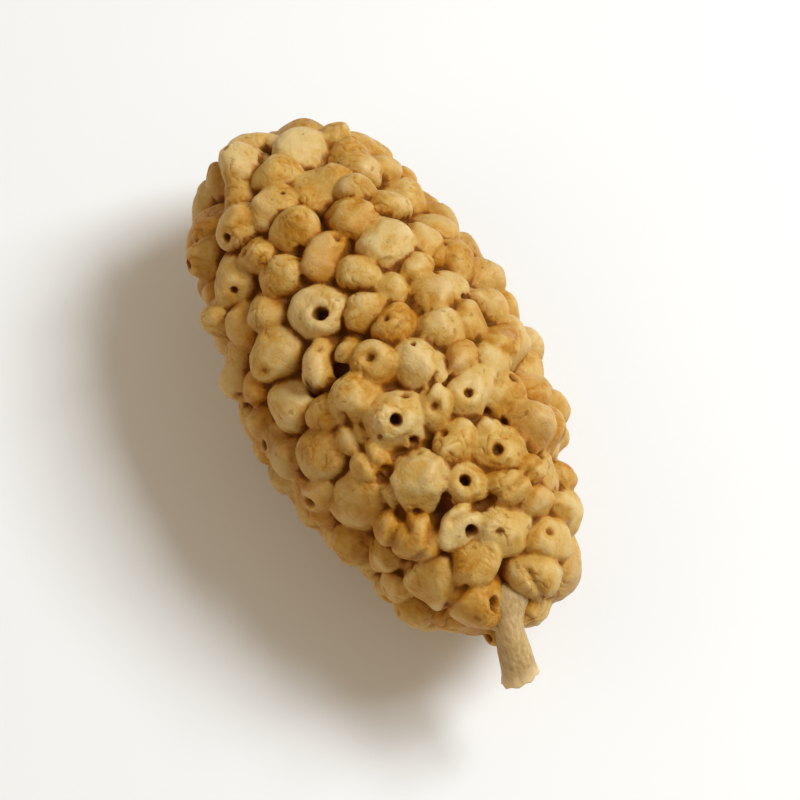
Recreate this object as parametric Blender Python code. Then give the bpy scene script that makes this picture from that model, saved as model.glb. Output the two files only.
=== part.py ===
# A dried white mulberry lying on its side, in metres, +Z up.
# +X runs along the fruit from its apex to its stalk, and the origin is on the surface under its middle.
# Two pieces: the fruit, which is its drupelets grown together on one axis, and the short stalk it was picked by.

import math

import bmesh
import bpy
import numpy as np
from mathutils import Vector

# Driving dimensions
BODY_LENGTH = 0.0248
BODY_WIDTH = 0.0127
BODY_HEIGHT = 0.0121  # it dried lying down, so it is a little lower than it is wide
STALK_DIAMETER = 0.00120

# Where the middle of the fruit's axis stands
AXIS_PLACE = np.array([-0.00095, -0.0001, 0.00575])

# Envelope of the drupelets' tips: |x / half length|^END_POWER + (radius / half width)^SIDE_POWER = 1
END_POWER = 1.8
SIDE_POWER = 2.5
APEX_FULLNESS = 0.03  # the apex half is wider than the middle by this share, and the stalk half narrower
MIDDLE_LINE = 0.27  # the line that points are moved away from runs this share of the length each way
HALVINGS = 36  # steps in which a point is brought to its depth

# The drupelets on the side that faces the eye: place along the fruit from its middle and across it, half
# its size, all in millimetres as seen from FACING, and how many pits it has
FACING_AZIMUTH, FACING_ELEVATION = 62.0, 68.0
FACING_DRUPELETS = (
    (-11.3, -0.4, 1.10, 0), (-10.2, 1.5, 1.35, 1), (-9.5, 0.2, 1.10, 0), (-9.1, -2.3, 1.45, 2),
    (-10.3, -3.1, 0.95, 0), (-8.7, -4.2, 1.00, 0), (-11.2, 2.7, 0.95, 0), (-8.6, 3.8, 1.35, 0),
    (-7.5, 1.5, 1.40, 0), (-7.5, -0.5, 1.15, 0), (-6.2, 4.3, 1.25, 0), (-6.3, 2.8, 0.90, 1),
    (-5.4, 0.1, 1.00, 0), (-4.7, 2.6, 1.15, 0), (-4.4, 4.7, 1.05, 0), (-6.2, -1.8, 1.10, 1),
    (-6.6, -3.5, 1.10, 1), (-5.1, -3.4, 1.10, 0), (-3.7, -1.0, 0.95, 1), (-3.5, 0.6, 1.15, 0),
    (-2.2, 1.6, 1.20, 2), (-3.0, 3.8, 1.10, 0), (-1.0, 4.2, 1.60, 1), (-2.9, -3.3, 1.20, 0),
    (-2.9, -5.1, 1.10, 0), (-4.6, -5.3, 1.15, 0), (-6.9, -5.0, 0.95, 0), (-1.0, -3.6, 1.20, 1),
    (-1.3, -5.6, 1.05, 0), (0.1, -5.6, 1.05, 0), (0.0, 1.3, 1.20, 0), (0.1, -1.1, 1.15, 0),
    (1.9, -0.7, 1.30, 2), (1.0, 5.1, 1.05, 0), (0.9, 3.4, 1.00, 0), (2.4, 2.6, 1.20, 1),
    (3.6, 2.9, 0.95, 1), (2.6, 4.7, 1.10, 0), (4.4, 4.6, 1.20, 0), (4.8, 2.4, 1.05, 1),
    (5.2, 0.8, 0.90, 1), (3.7, 1.3, 0.80, 0), (4.1, -0.9, 1.35, 0), (6.1, 3.9, 1.25, 0), (6.1, 2.2, 0.90, 0),
    (2.0, -3.3, 1.20, 0), (3.9, -3.3, 1.15, 0), (1.6, -5.3, 1.05, 0), (3.3, -5.2, 1.10, 0),
    (5.5, -2.5, 1.00, 0), (5.3, -4.4, 1.00, 0), (6.7, -3.9, 0.95, 0), (7.0, -0.1, 0.85, 1),
    (7.8, 1.8, 1.45, 2), (8.7, 3.4, 1.35, 0), (10.5, 2.0, 1.25, 0), (7.9, -2.3, 1.30, 0),
    (9.0, -0.3, 1.05, 0), (11.0, 0.4, 1.00, 0), (10.3, -2.4, 1.45, 1), (8.3, -4.0, 0.95, 0),
)

# The drupelets all round the rest of it
SEED = 19
SMALLEST, LARGEST = 0.00094, 0.00148
PITTED_SHARE = 0.40
FILL_SPOTS, FILL_STEPS, FILL_TRIES = 900, 7, 50
FIT = 0.80  # a drupelet fits where the middles stand at least this far apart, as a share of the two radii
PACKING = 0.86  # the same, once they have settled
SETTLING_STEPS = 50
SETTLING_RATE = 0.3

# One drupelet, in shares of its radius
DEPTH = 1.0  # its middle lies this far under the envelope
LEAN_SPREAD = 0.14  # radians
PROUD_SPREAD = 0.00014  # metres that it stands above or below its neighbours
FEW_LOBES, MORE_LOBES = (1, 2), (2, 4)  # fewest and most, of a small drupelet and of a larger one
SMALL_RADIUS = 0.00095  # metres, under which it is a small one
LOBE_TURN = 0.12  # radians by which a lobe is out of even spacing, at most
LOBE_SIZES = (0.90, 1.08)
LONE_RADIUS = 1.14  # of a drupelet with one lobe
LOBE_RADIUS = 1.02
LOBE_OFFSET = 0.42
LOBE_RISE = 0.06
LOBE_SOFTNESS = 0.06
PIT_ANGLE = 0.24  # radians
PIT_DEPTH = 0.42
CONTACT_SOFTNESS = 0.08
ROOT_LENGTH = 1.5
CONTACT_OVERLAP = 0.00014  # metres past the plane where it meets its neighbour, so that they fuse
FARTHEST_NEIGHBOUR = 0.0034
SIDEWAYS = 0.02  # a direction that faces a wall by less than this never meets it
NO_WALL = 9.0

# Its mesh: angles of its rings from the tip, with and without a pit, and the sides of a ring
PITTED_RINGS = (0.20, 0.50, 1.00, 1.45)
PLAIN_RINGS = (0.50, 1.00, 1.45)
RING_SIDES = 7
KEPT_FACES = 0.75  # share of the fused faces that is left once the slivers along the creases are joined

# The flesh round the fruit's axis, under the drupelets
CORE_DEPTH = 0.00140
CORE_RINGS, CORE_SIDES = 11, 14

# The stalk's line in the facing view, in millimetres: along, across, and towards the eye
STALK_ROUTE = ((9.2, 0.0, 3.4), (10.3, -0.4, 5.0), (11.6, -0.8, 5.0), (13.1, -1.3, 4.1))
STALK_RINGS, STALK_SIDES = 7, 9
STALK_FLARE = 0.25  # its ends are thicker by this share
STALK_GAP = 0.0003
STALK_FOOT = 0.45  # share of its line where it leaves the fruit
STALK_CLEARING = 0.00090  # no drupelet's middle stands nearer to the foot than this and most of its own radius


def clear_scene():
    for obj in list(bpy.data.objects):
        bpy.data.objects.remove(obj, do_unlink=True)


def unit(vectors):
    return vectors / np.linalg.norm(vectors, axis=-1, keepdims=True)


def facing_axes():
    """Rows: along the fruit as the eye sees it, across it, and towards the eye."""
    azimuth, elevation = math.radians(FACING_AZIMUTH), math.radians(FACING_ELEVATION)
    flat = math.cos(elevation)
    eye = np.array([math.sin(azimuth) * flat, -math.cos(azimuth) * flat, math.sin(elevation)])
    along = unit(np.array([1.0, 0, 0]) - eye[0] * eye)
    return np.array([along, np.cross(eye, along), eye])


def envelope(points, depth=0.0):
    """1 on the surface that lies this depth under the drupelets' tips, less inside it."""
    x = points[..., 0] / (BODY_LENGTH / 2 - depth)
    fullness = 1 - APEX_FULLNESS * np.clip(x, -1, 1)
    y = points[..., 1] / (BODY_WIDTH / 2 * fullness - depth)
    z = points[..., 2] / (BODY_HEIGHT / 2 * fullness - depth)
    return np.abs(x) ** END_POWER + np.hypot(y, z) ** SIDE_POWER


def outward(points):
    """Unit normals of the envelope through these points."""
    step = 1e-6
    slopes = [envelope(points + step * e) - envelope(points - step * e) for e in np.eye(3)]
    return unit(np.stack(slopes, axis=-1))


def onto_envelope(points, depth):
    """Each point moved along its ray from the fruit's middle line until it lies at its depth."""
    inner = np.zeros_like(points)
    line_end = MIDDLE_LINE * BODY_LENGTH
    inner[:, 0] = np.clip(points[:, 0], -line_end, line_end)
    rays = unit(points - inner)
    low, high = np.zeros(len(points)), np.full(len(points), BODY_LENGTH)
    for _ in range(HALVINGS):
        middle = (low + high) / 2
        inside = envelope(inner + middle[:, None] * rays, depth) < 1
        low = np.where(inside, middle, low)
        high = np.where(inside, high, middle)
    return inner + low[:, None] * rays


def facing_middles():
    """Middles and radii of the listed drupelets, each on the part of its depth's surface nearest the eye."""
    rows = np.array(FACING_DRUPELETS)
    radii = rows[:, 2] / 1000
    depth = DEPTH * radii[:, None]
    axes = facing_axes()
    sight = np.linspace(BODY_WIDTH / 2, -BODY_WIDTH / 4, 120)
    line = (rows[:, :2] / 1000) @ axes[:2]
    points = line[:, None] + sight[None, :, None] * axes[2]
    level = envelope(points, depth)
    first_inside = np.argmax(level < 1, axis=1)
    nearest = np.argmin(level, axis=1)
    chosen = np.where(level.min(axis=1) < 1, first_inside, nearest)
    return onto_envelope(points[np.arange(len(rows)), chosen], depth[:, 0]), radii


def spiral(count):
    """Points spread evenly all round the fruit by the golden angle."""
    row = 1 - 2 * (np.arange(count) + 0.5) / count
    angle = math.pi * (3 - math.sqrt(5)) * np.arange(count)
    side = np.sqrt(1 - row**2)
    round_axis = np.stack([row, side * np.cos(angle), side * np.sin(angle)], axis=1)
    return round_axis * np.array([BODY_LENGTH, BODY_WIDTH, BODY_HEIGHT]) / 2


def fill_in(rng, middles, radii):
    """Puts further drupelets wherever one fits, larger ones first, and then pushes these apart a little."""
    placed = len(middles)
    spots = spiral(FILL_SPOTS)
    for step, size in enumerate(np.linspace(LARGEST, SMALLEST, FILL_STEPS)):
        last = step == FILL_STEPS - 1
        tried = rng.permutation(spots)[: FILL_SPOTS if last else FILL_TRIES]
        for spot in onto_envelope(tried, DEPTH * np.full(len(tried), size)):
            distance = np.linalg.norm(middles - spot, axis=1)
            if np.all(distance > FIT * (size + radii)):
                middles = np.vstack([middles, spot])
                radii = np.append(radii, size)
    for _ in range(SETTLING_STEPS):
        apart = middles[placed:, None] - middles[None]
        distance = np.linalg.norm(apart, axis=-1)
        distance[distance == 0] = 1
        wanted = PACKING * (radii[placed:, None] + radii[None])
        push = (SETTLING_RATE * np.maximum(wanted - distance, 0) / distance)[..., None]
        middles[placed:] = onto_envelope(middles[placed:] + (apart * push).sum(axis=1), DEPTH * radii[placed:])
    return middles, radii


def local_axes(rng, middles):
    """Three axes for each drupelet: two across it, and one out along it, leaning a little at random."""
    out = unit(outward(middles) + rng.normal(0, LEAN_SPREAD, middles.shape))
    helper = np.where(np.abs(out[:, :1]) < 0.9, np.array([[1.0, 0, 0]]), np.array([[0, 0, 1.0]]))
    first = unit(np.cross(helper, out))
    return np.stack([first, np.cross(out, first), out], axis=1)


def lay_out_drupelets():
    """Every drupelet's middle, axes, radius, lobes and pits, and the planes where it meets its neighbours."""
    rng = np.random.default_rng(SEED)
    facing, facing_radii = facing_middles()
    foot = stalk_point(STALK_FOOT)
    middles, radii = fill_in(rng, np.vstack([facing, foot]), np.append(facing_radii, STALK_CLEARING))
    middles, radii = np.delete(middles, len(facing), axis=0), np.delete(radii, len(facing))
    pits = (rng.random(len(middles)) < PITTED_SHARE).astype(int)
    pits[: len(FACING_DRUPELETS)] = np.array(FACING_DRUPELETS)[:, 3]
    axes = local_axes(rng, middles)
    middles = middles + axes[:, 2] * rng.normal(0, PROUD_SPREAD, len(middles))[:, None]
    drupelets = []
    for i, (middle, radius) in enumerate(zip(middles, radii)):
        fewest, most = FEW_LOBES if radius < SMALL_RADIUS else MORE_LOBES
        lobes = int(rng.integers(fewest, most + 1))
        start = rng.uniform(0, 2 * math.pi)
        turns = start + 2 * math.pi * (np.arange(lobes) + rng.uniform(-LOBE_TURN, LOBE_TURN, lobes)) / lobes
        sizes = rng.uniform(*LOBE_SIZES, lobes)
        gaps = middles - middle
        distance = np.linalg.norm(gaps, axis=1)
        near = (distance > 0) & (distance < FARTHEST_NEIGHBOUR)
        gaps, distance = gaps[near], distance[near]
        wall = (distance**2 + radius**2 - radii[near] ** 2) / (2 * distance)
        drupelets.append(
            {
                "middle": middle,
                "radius": radius,
                "axes": axes[i],
                "turns": turns,
                "sizes": sizes,
                "pits": pits[i],
                "walls": gaps / distance[:, None],
                "wall_distance": wall + CONTACT_OVERLAP,
            }
        )
    return drupelets


def reach(drupelet, directions):
    """How far the drupelet's skin lies from its middle along each direction, given in the drupelet's own axes."""
    turns, radius = drupelet["turns"], drupelet["radius"]
    offset = LOBE_OFFSET if len(turns) > 1 else 0
    centres = np.stack([offset * np.cos(turns), offset * np.sin(turns), np.full(len(turns), LOBE_RISE)], axis=1)
    lobe_radius = (LOBE_RADIUS if len(turns) > 1 else LONE_RADIUS) * drupelet["sizes"]
    along = directions @ centres.T
    skins = along + np.sqrt(np.maximum(lobe_radius**2 - (centres**2).sum(axis=1) + along**2, 1e-4))
    skin = LOBE_SOFTNESS * np.log(np.exp(skins / LOBE_SOFTNESS).mean(axis=1))
    if drupelet["pits"]:
        off_tip = np.arccos(np.clip(directions[:, 2], -1, 1))
        skin = skin - PIT_DEPTH * np.exp(-((off_tip / PIT_ANGLE) ** 2))
    facing = (directions @ drupelet["axes"]) @ drupelet["walls"].T
    distance = drupelet["wall_distance"] / radius / np.maximum(facing, SIDEWAYS)
    wall = np.where(facing > SIDEWAYS, distance, NO_WALL)
    nearer = np.concatenate([skin[:, None], wall], axis=1)
    return -radius * CONTACT_SOFTNESS * np.log(np.exp(-nearer / CONTACT_SOFTNESS).sum(axis=1))


def ring_directions(drupelet):
    """Directions of one drupelet's mesh: its tip, its rings, whose sides start at its first lobe, and its root."""
    angles = PITTED_RINGS if drupelet["pits"] else PLAIN_RINGS
    around = drupelet["turns"][0] + 2 * math.pi * np.arange(RING_SIDES) / RING_SIDES
    circle = np.stack([np.cos(around), np.sin(around), np.zeros(RING_SIDES)], axis=1)
    tip = np.array([[0, 0, 1.0]])
    rings = [math.sin(a) * circle + math.cos(a) * tip for a in angles]
    return np.vstack([tip, *rings, -tip]), len(angles)


def ringed_faces(rings, sides):
    """Faces of a closed form made of a first point, rings of points, and a last point."""
    last = rings * sides + 1
    faces = []
    for k in range(sides):
        n = (k + 1) % sides
        faces.append((0, 1 + k, 1 + n))
        for r in range(rings - 1):
            a, b = 1 + r * sides, 1 + (r + 1) * sides
            faces.append((a + k, b + k, b + n))
            faces.append((a + k, b + n, a + n))
        a = 1 + (rings - 1) * sides
        faces.append((a + n, a + k, last))
    return faces


def new_object(name, points, faces, collection=None):
    mesh = bpy.data.meshes.new(name)
    mesh.from_pydata([tuple(p) for p in points], [], faces)
    bm = bmesh.new()
    bm.from_mesh(mesh)
    bmesh.ops.recalc_face_normals(bm, faces=bm.faces[:])
    bm.to_mesh(mesh)
    bm.free()
    obj = bpy.data.objects.new(name, mesh)
    (collection or bpy.context.scene.collection).objects.link(obj)
    return obj


def make_core(name):
    """The flesh round the fruit's axis, which the drupelets stand out of."""
    around = 2 * math.pi * np.arange(CORE_SIDES) / CORE_SIDES
    points = [np.array([[1.0, 0, 0]])]
    for row in range(1, CORE_RINGS + 1):
        angle = math.pi * row / (CORE_RINGS + 1)
        side = math.sin(angle)
        points.append(
            np.stack([np.full(CORE_SIDES, math.cos(angle)), side * np.cos(around), side * np.sin(around)], axis=1)
        )
    points.append(np.array([[-1.0, 0, 0]]))
    skin = onto_envelope(np.vstack(points) * np.array([BODY_LENGTH, BODY_WIDTH, BODY_HEIGHT]) / 2, CORE_DEPTH)
    return new_object(name, skin + AXIS_PLACE, ringed_faces(CORE_RINGS, CORE_SIDES))


def apply_modifiers(obj):
    graph = bpy.context.evaluated_depsgraph_get()
    applied = bpy.data.meshes.new_from_object(obj.evaluated_get(graph))
    obj.modifiers.clear()
    obj.data = applied


def fuse(obj, collection):
    """Joins every object of a collection to one object, as one body."""
    union = obj.modifiers.new("union", "BOOLEAN")
    union.operation = "UNION"
    union.solver = "MANIFOLD"
    union.operand_type = "COLLECTION"
    union.collection = collection
    thinning = obj.modifiers.new("thinning", "DECIMATE")
    thinning.ratio = KEPT_FACES
    apply_modifiers(obj)
    for repeat in list(collection.objects):
        bpy.data.objects.remove(repeat, do_unlink=True)
    bpy.data.collections.remove(collection)


def cut_away(obj, cutter):
    cut = obj.modifiers.new("cut", "BOOLEAN")
    cut.operation = "DIFFERENCE"
    cut.solver = "EXACT"
    cut.object = cutter
    apply_modifiers(obj)
    bpy.data.objects.remove(cutter, do_unlink=True)


def keep_outer_skin(obj):
    """Fills any hollow that the fusing sealed, and drops loose scraps, by keeping the largest shell alone."""
    bm = bmesh.new()
    bm.from_mesh(obj.data)
    unseen = set(bm.verts)
    shells = []
    while unseen:
        shell, waiting = [], [unseen.pop()]
        while waiting:
            vert = waiting.pop()
            shell.append(vert)
            near = {edge.other_vert(vert) for edge in vert.link_edges} & unseen
            unseen -= near
            waiting.extend(near)
        shells.append(shell)
    shells.sort(key=len)
    for shell in shells[:-1]:
        bmesh.ops.delete(bm, geom=shell, context="VERTS")
    bm.to_mesh(obj.data)
    bm.free()


def stalk_point(share):
    """A point on the stalk's smooth line, from its root at 0 to its cut end at 1, about the fruit's middle."""
    route = np.array(STALK_ROUTE) / 1000 @ facing_axes()
    a, b, c, d = route
    s = 1 - share
    return s**3 * a + 3 * s * s * share * b + 3 * s * share * share * c + share**3 * d


def stalk_rod(name, extra, start, end):
    """The stalk or, with extra all round, the hole for its root: a bent rod, thicker at both ends."""
    points = []
    for ring in range(STALK_RINGS):
        share = start + (end - start) * ring / (STALK_RINGS - 1)
        centre = Vector(AXIS_PLACE + stalk_point(share))
        along = Vector(stalk_point(share + 0.01) - stalk_point(share - 0.01)).normalized()
        across = along.cross(Vector((0, 0, 1))).normalized()
        over = along.cross(across)
        radius = STALK_DIAMETER / 2 * (1 + STALK_FLARE * (2 * share - 1) ** 2) + extra
        if not points:
            points.append(centre)
        for k in range(STALK_SIDES):
            angle = 2 * math.pi * k / STALK_SIDES
            points.append(centre + radius * (math.cos(angle) * across + math.sin(angle) * over))
    points.append(centre)
    return new_object(name, points, ringed_faces(STALK_RINGS, STALK_SIDES))


def make_drupelets():
    fruit = make_core("drupelets")
    repeats = bpy.data.collections.new("repeats")
    bpy.context.scene.collection.children.link(repeats)
    for n, drupelet in enumerate(lay_out_drupelets()):
        directions, rings = ring_directions(drupelet)
        lengths = reach(drupelet, directions)
        lengths[-1] = ROOT_LENGTH * drupelet["radius"]
        skin = directions @ drupelet["axes"] * lengths[:, None]
        new_object(f"drupelet_{n}", skin + drupelet["middle"] + AXIS_PLACE, ringed_faces(rings, RING_SIDES), repeats)
    fuse(fruit, repeats)
    return fruit


def floor_block():
    """Everything below the surface, which has pressed the lowest drupelets flat."""
    bpy.ops.mesh.primitive_cube_add(size=2 * BODY_LENGTH, location=(0, 0, -BODY_LENGTH))
    return bpy.context.object


def material(name, colour, roughness):
    made = bpy.data.materials.new(name)
    made.use_nodes = True
    shader = made.node_tree.nodes["Principled BSDF"]
    shader.inputs["Base Color"].default_value = (*colour, 1)
    shader.inputs["Roughness"].default_value = roughness
    shader.inputs["Metallic"].default_value = 0
    return made


def finish(obj, surface):
    obj.data.materials.clear()
    obj.data.materials.append(surface)
    obj.data.shade_smooth()
    obj.data.set_sharp_from_angle(angle=math.radians(50))


def main():
    clear_scene()
    fruit = make_drupelets()
    cut_away(fruit, floor_block())
    cut_away(fruit, stalk_rod("stalk_hole", STALK_GAP, -0.04, 1.04))
    keep_outer_skin(fruit)
    stalk = stalk_rod("stalk", 0, 0, 1)
    finish(fruit, material("dried_drupelet_skin", (0.62, 0.38, 0.15), 0.55))
    finish(stalk, material("dry_stalk", (0.50, 0.34, 0.16), 0.75))


main()
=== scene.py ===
import math

import bmesh
import bpy
import numpy as np
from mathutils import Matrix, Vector
from mathutils.bvhtree import BVHTree
from mathutils.kdtree import KDTree


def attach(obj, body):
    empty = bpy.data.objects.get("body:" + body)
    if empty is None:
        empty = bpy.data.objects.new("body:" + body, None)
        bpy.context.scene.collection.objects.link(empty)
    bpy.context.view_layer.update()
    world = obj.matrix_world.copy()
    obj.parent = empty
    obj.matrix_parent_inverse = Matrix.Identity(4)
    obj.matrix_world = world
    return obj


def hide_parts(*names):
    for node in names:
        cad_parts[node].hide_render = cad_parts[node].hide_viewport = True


# a dried white mulberry lying on a pale table; metres, or millimetres where a note says so

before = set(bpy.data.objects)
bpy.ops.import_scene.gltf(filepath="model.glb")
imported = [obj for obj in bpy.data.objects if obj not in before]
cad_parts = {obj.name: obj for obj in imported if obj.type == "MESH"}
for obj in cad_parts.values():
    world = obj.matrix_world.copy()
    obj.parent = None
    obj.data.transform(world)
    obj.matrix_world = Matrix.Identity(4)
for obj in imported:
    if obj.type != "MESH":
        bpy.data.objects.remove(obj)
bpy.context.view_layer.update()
print("frame loaded with", sorted(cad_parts))

# the fruit's form and the rule that lays out its drupelets, with the numbers that its solid has
fruit = {
    "length": 0.0248,
    "width": 0.0127,
    "height": 0.0121,
    "middle": np.array([-0.00095, -0.0001, 0.00575]),
    "endPower": 1.8,
    "sidePower": 2.5,
    "apexFullness": 0.03,
    "middleLine": 0.27,
    "azimuth": 62.0,  # the side that faces the camera
    "elevation": 68.0,
    "seed": 19,
    "smallest": 0.00094,
    "largest": 0.00148,
    "pittedShare": 0.40,
    "fillSpots": 900,
    "fillSteps": 7,
    "fillTries": 50,
    "fit": 0.80,
    "packing": 0.86,
    "settlingSteps": 50,
    "settlingRate": 0.3,
    "leanSpread": 0.14,
    "proudSpread": 0.00014,
    "smallDrupelet": 0.00095,  # one with a smaller radius has few lobes
    "fewLobes": (1, 3),
    "manyLobes": (2, 5),
    "lobeTurns": 0.12,
    "lobeSizes": (0.90, 1.08),
}

# the drupelets on the camera's side: along the fruit, across it, half its size, in mm, and its pits
facingDrupelets = (
    (-11.3, -0.4, 1.10, 0), (-10.2, 1.5, 1.35, 1), (-9.5, 0.2, 1.10, 0), (-9.1, -2.3, 1.45, 2),
    (-10.3, -3.1, 0.95, 0), (-8.7, -4.2, 1.00, 0), (-11.2, 2.7, 0.95, 0), (-8.6, 3.8, 1.35, 0),
    (-7.5, 1.5, 1.40, 0), (-7.5, -0.5, 1.15, 0), (-6.2, 4.3, 1.25, 0), (-6.3, 2.8, 0.90, 1),
    (-5.4, 0.1, 1.00, 0), (-4.7, 2.6, 1.15, 0), (-4.4, 4.7, 1.05, 0), (-6.2, -1.8, 1.10, 1),
    (-6.6, -3.5, 1.10, 1), (-5.1, -3.4, 1.10, 0), (-3.7, -1.0, 0.95, 1), (-3.5, 0.6, 1.15, 0),
    (-2.2, 1.6, 1.20, 2), (-3.0, 3.8, 1.10, 0), (-1.0, 4.2, 1.60, 1), (-2.9, -3.3, 1.20, 0),
    (-2.9, -5.1, 1.10, 0), (-4.6, -5.3, 1.15, 0), (-6.9, -5.0, 0.95, 0), (-1.0, -3.6, 1.20, 1),
    (-1.3, -5.6, 1.05, 0), (0.1, -5.6, 1.05, 0), (0.0, 1.3, 1.20, 0), (0.1, -1.1, 1.15, 0),
    (1.9, -0.7, 1.30, 2), (1.0, 5.1, 1.05, 0), (0.9, 3.4, 1.00, 0), (2.4, 2.6, 1.20, 1),
    (3.6, 2.9, 0.95, 1), (2.6, 4.7, 1.10, 0), (4.4, 4.6, 1.20, 0), (4.8, 2.4, 1.05, 1),
    (5.2, 0.8, 0.90, 1), (3.7, 1.3, 0.80, 0), (4.1, -0.9, 1.35, 0), (6.1, 3.9, 1.25, 0), (6.1, 2.2, 0.90, 0),
    (2.0, -3.3, 1.20, 0), (3.9, -3.3, 1.15, 0), (1.6, -5.3, 1.05, 0), (3.3, -5.2, 1.10, 0),
    (5.5, -2.5, 1.00, 0), (5.3, -4.4, 1.00, 0), (6.7, -3.9, 0.95, 0), (7.0, -0.1, 0.85, 1),
    (7.8, 1.8, 1.45, 2), (8.7, 3.4, 1.35, 0), (10.5, 2.0, 1.25, 0), (7.9, -2.3, 1.30, 0),
    (9.0, -0.3, 1.05, 0), (11.0, 0.4, 1.00, 0), (10.3, -2.4, 1.45, 1), (8.3, -4.0, 0.95, 0),
)

# the stalk's line in the same view, in mm: along, across, and towards the camera
stalk = {
    "route": ((9.2, 0.0, 3.4), (10.3, -0.4, 5.0), (11.6, -0.8, 5.0), (13.1, -1.3, 4.1)),
    "diameter": 0.0012,
    "flare": 0.25,
    "foot": 0.45,  # share of the line where it leaves the fruit
    "clearing": 0.0009,
    "rings": 110,
    "sides": 96,
    "endRings": 10,
    "fibre": 0.000011,  # how deep its drawn-in fibres go
    "knobs": 0.00003,
    "frayed": 0.00004,  # how uneven its cut end is, along the stalk
    "cutAngle": 0.22,
    "tipSpread": 0.10,
    "root": 0.00045,  # how much it widens where it comes out of the fruit
}


def unit(vectors):
    return vectors / np.linalg.norm(vectors, axis=-1, keepdims=True)


def facingAxes():  # rows: along the fruit as the camera sees it, across it, towards the camera
    azimuth, elevation = math.radians(fruit["azimuth"]), math.radians(fruit["elevation"])
    flat = math.cos(elevation)
    eye = np.array([math.sin(azimuth) * flat, -math.cos(azimuth) * flat, math.sin(elevation)])
    along = unit(np.array([1.0, 0, 0]) - eye[0] * eye)
    return np.array([along, np.cross(eye, along), eye])


def envelopeLevel(points, depth=0.0):  # 1 on the surface this deep under the drupelets' tips
    x = points[..., 0] / (fruit["length"] / 2 - depth)
    fullness = 1 - fruit["apexFullness"] * np.clip(x, -1, 1)
    y = points[..., 1] / (fruit["width"] / 2 * fullness - depth)
    z = points[..., 2] / (fruit["height"] / 2 * fullness - depth)
    return np.abs(x) ** fruit["endPower"] + np.hypot(y, z) ** fruit["sidePower"]


def outwardOf(points):
    step = 1e-6
    slopes = [envelopeLevel(points + step * e) - envelopeLevel(points - step * e) for e in np.eye(3)]
    return unit(np.stack(slopes, axis=-1))


def axesAbout(out):  # two directions square to each outward one, and itself
    helper = np.where(np.abs(out[:, :1]) < 0.9, np.array([[1.0, 0, 0]]), np.array([[0, 0, 1.0]]))
    first = unit(np.cross(helper, out))
    return np.stack([first, np.cross(out, first), out], axis=1)


def ontoEnvelope(points, depth, halvings=36):  # each point moved along its ray to the surface this deep
    inner = np.zeros_like(points)
    lineEnd = fruit["middleLine"] * fruit["length"]
    inner[:, 0] = np.clip(points[:, 0], -lineEnd, lineEnd)
    rays = unit(points - inner)
    low, high = np.zeros(len(points)), np.full(len(points), fruit["length"])
    for _ in range(halvings):
        middle = (low + high) / 2
        inside = envelopeLevel(inner + middle[:, None] * rays, depth) < 1
        low = np.where(inside, middle, low)
        high = np.where(inside, high, middle)
    return inner + low[:, None] * rays


def facingMiddles(table, steps=120):  # where a table's rows lie, from their places in the camera's view
    rows = np.array([row[:3] for row in table])
    radii = rows[:, 2] / 1000
    depth = radii[:, None]
    axes = facingAxes()
    sight = np.linspace(fruit["width"] / 2, -fruit["width"] / 4, steps)
    line = (rows[:, :2] / 1000) @ axes[:2]
    points = line[:, None] + sight[None, :, None] * axes[2]
    level = envelopeLevel(points, depth)
    chosen = np.where(level.min(axis=1) < 1, np.argmax(level < 1, axis=1), np.argmin(level, axis=1))
    return ontoEnvelope(points[np.arange(len(rows)), chosen], depth[:, 0]), radii


def goldenSpiral(count):  # evenly spread spots round the fruit
    row = 1 - 2 * (np.arange(count) + 0.5) / count
    angle = math.pi * (3 - math.sqrt(5)) * np.arange(count)
    side = np.sqrt(1 - row**2)
    roundAxis = np.stack([row, side * np.cos(angle), side * np.sin(angle)], axis=1)
    return roundAxis * np.array([fruit["length"], fruit["width"], fruit["height"]]) / 2


def fillIn(rng, middles, radii):  # further drupelets wherever one fits, larger ones first
    placed = len(middles)
    spots = goldenSpiral(fruit["fillSpots"])
    steps = fruit["fillSteps"]
    for step, size in enumerate(np.linspace(fruit["largest"], fruit["smallest"], steps)):
        tries = fruit["fillSpots"] if step == steps - 1 else fruit["fillTries"]
        tried = rng.permutation(spots)[:tries]
        for spot in ontoEnvelope(tried, np.full(len(tried), size)):
            distance = np.linalg.norm(middles - spot, axis=1)
            if np.all(distance > fruit["fit"] * (size + radii)):
                middles = np.vstack([middles, spot])
                radii = np.append(radii, size)
    for _ in range(fruit["settlingSteps"]):
        apart = middles[placed:, None] - middles[None]
        distance = np.linalg.norm(apart, axis=-1)
        distance[distance == 0] = 1
        wanted = fruit["packing"] * (radii[placed:, None] + radii[None])
        push = (fruit["settlingRate"] * np.maximum(wanted - distance, 0) / distance)[..., None]
        middles[placed:] = ontoEnvelope(middles[placed:] + (apart * push).sum(axis=1), radii[placed:])
    return middles, radii


def stalkPoint(share):  # on its line, from the root at 0 to the cut end at 1, about the fruit's middle
    a, b, c, d = np.array(stalk["route"]) / 1000 @ facingAxes()
    s = 1 - share
    return s**3 * a + 3 * s * s * share * b + 3 * s * share * share * c + share**3 * d


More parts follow.
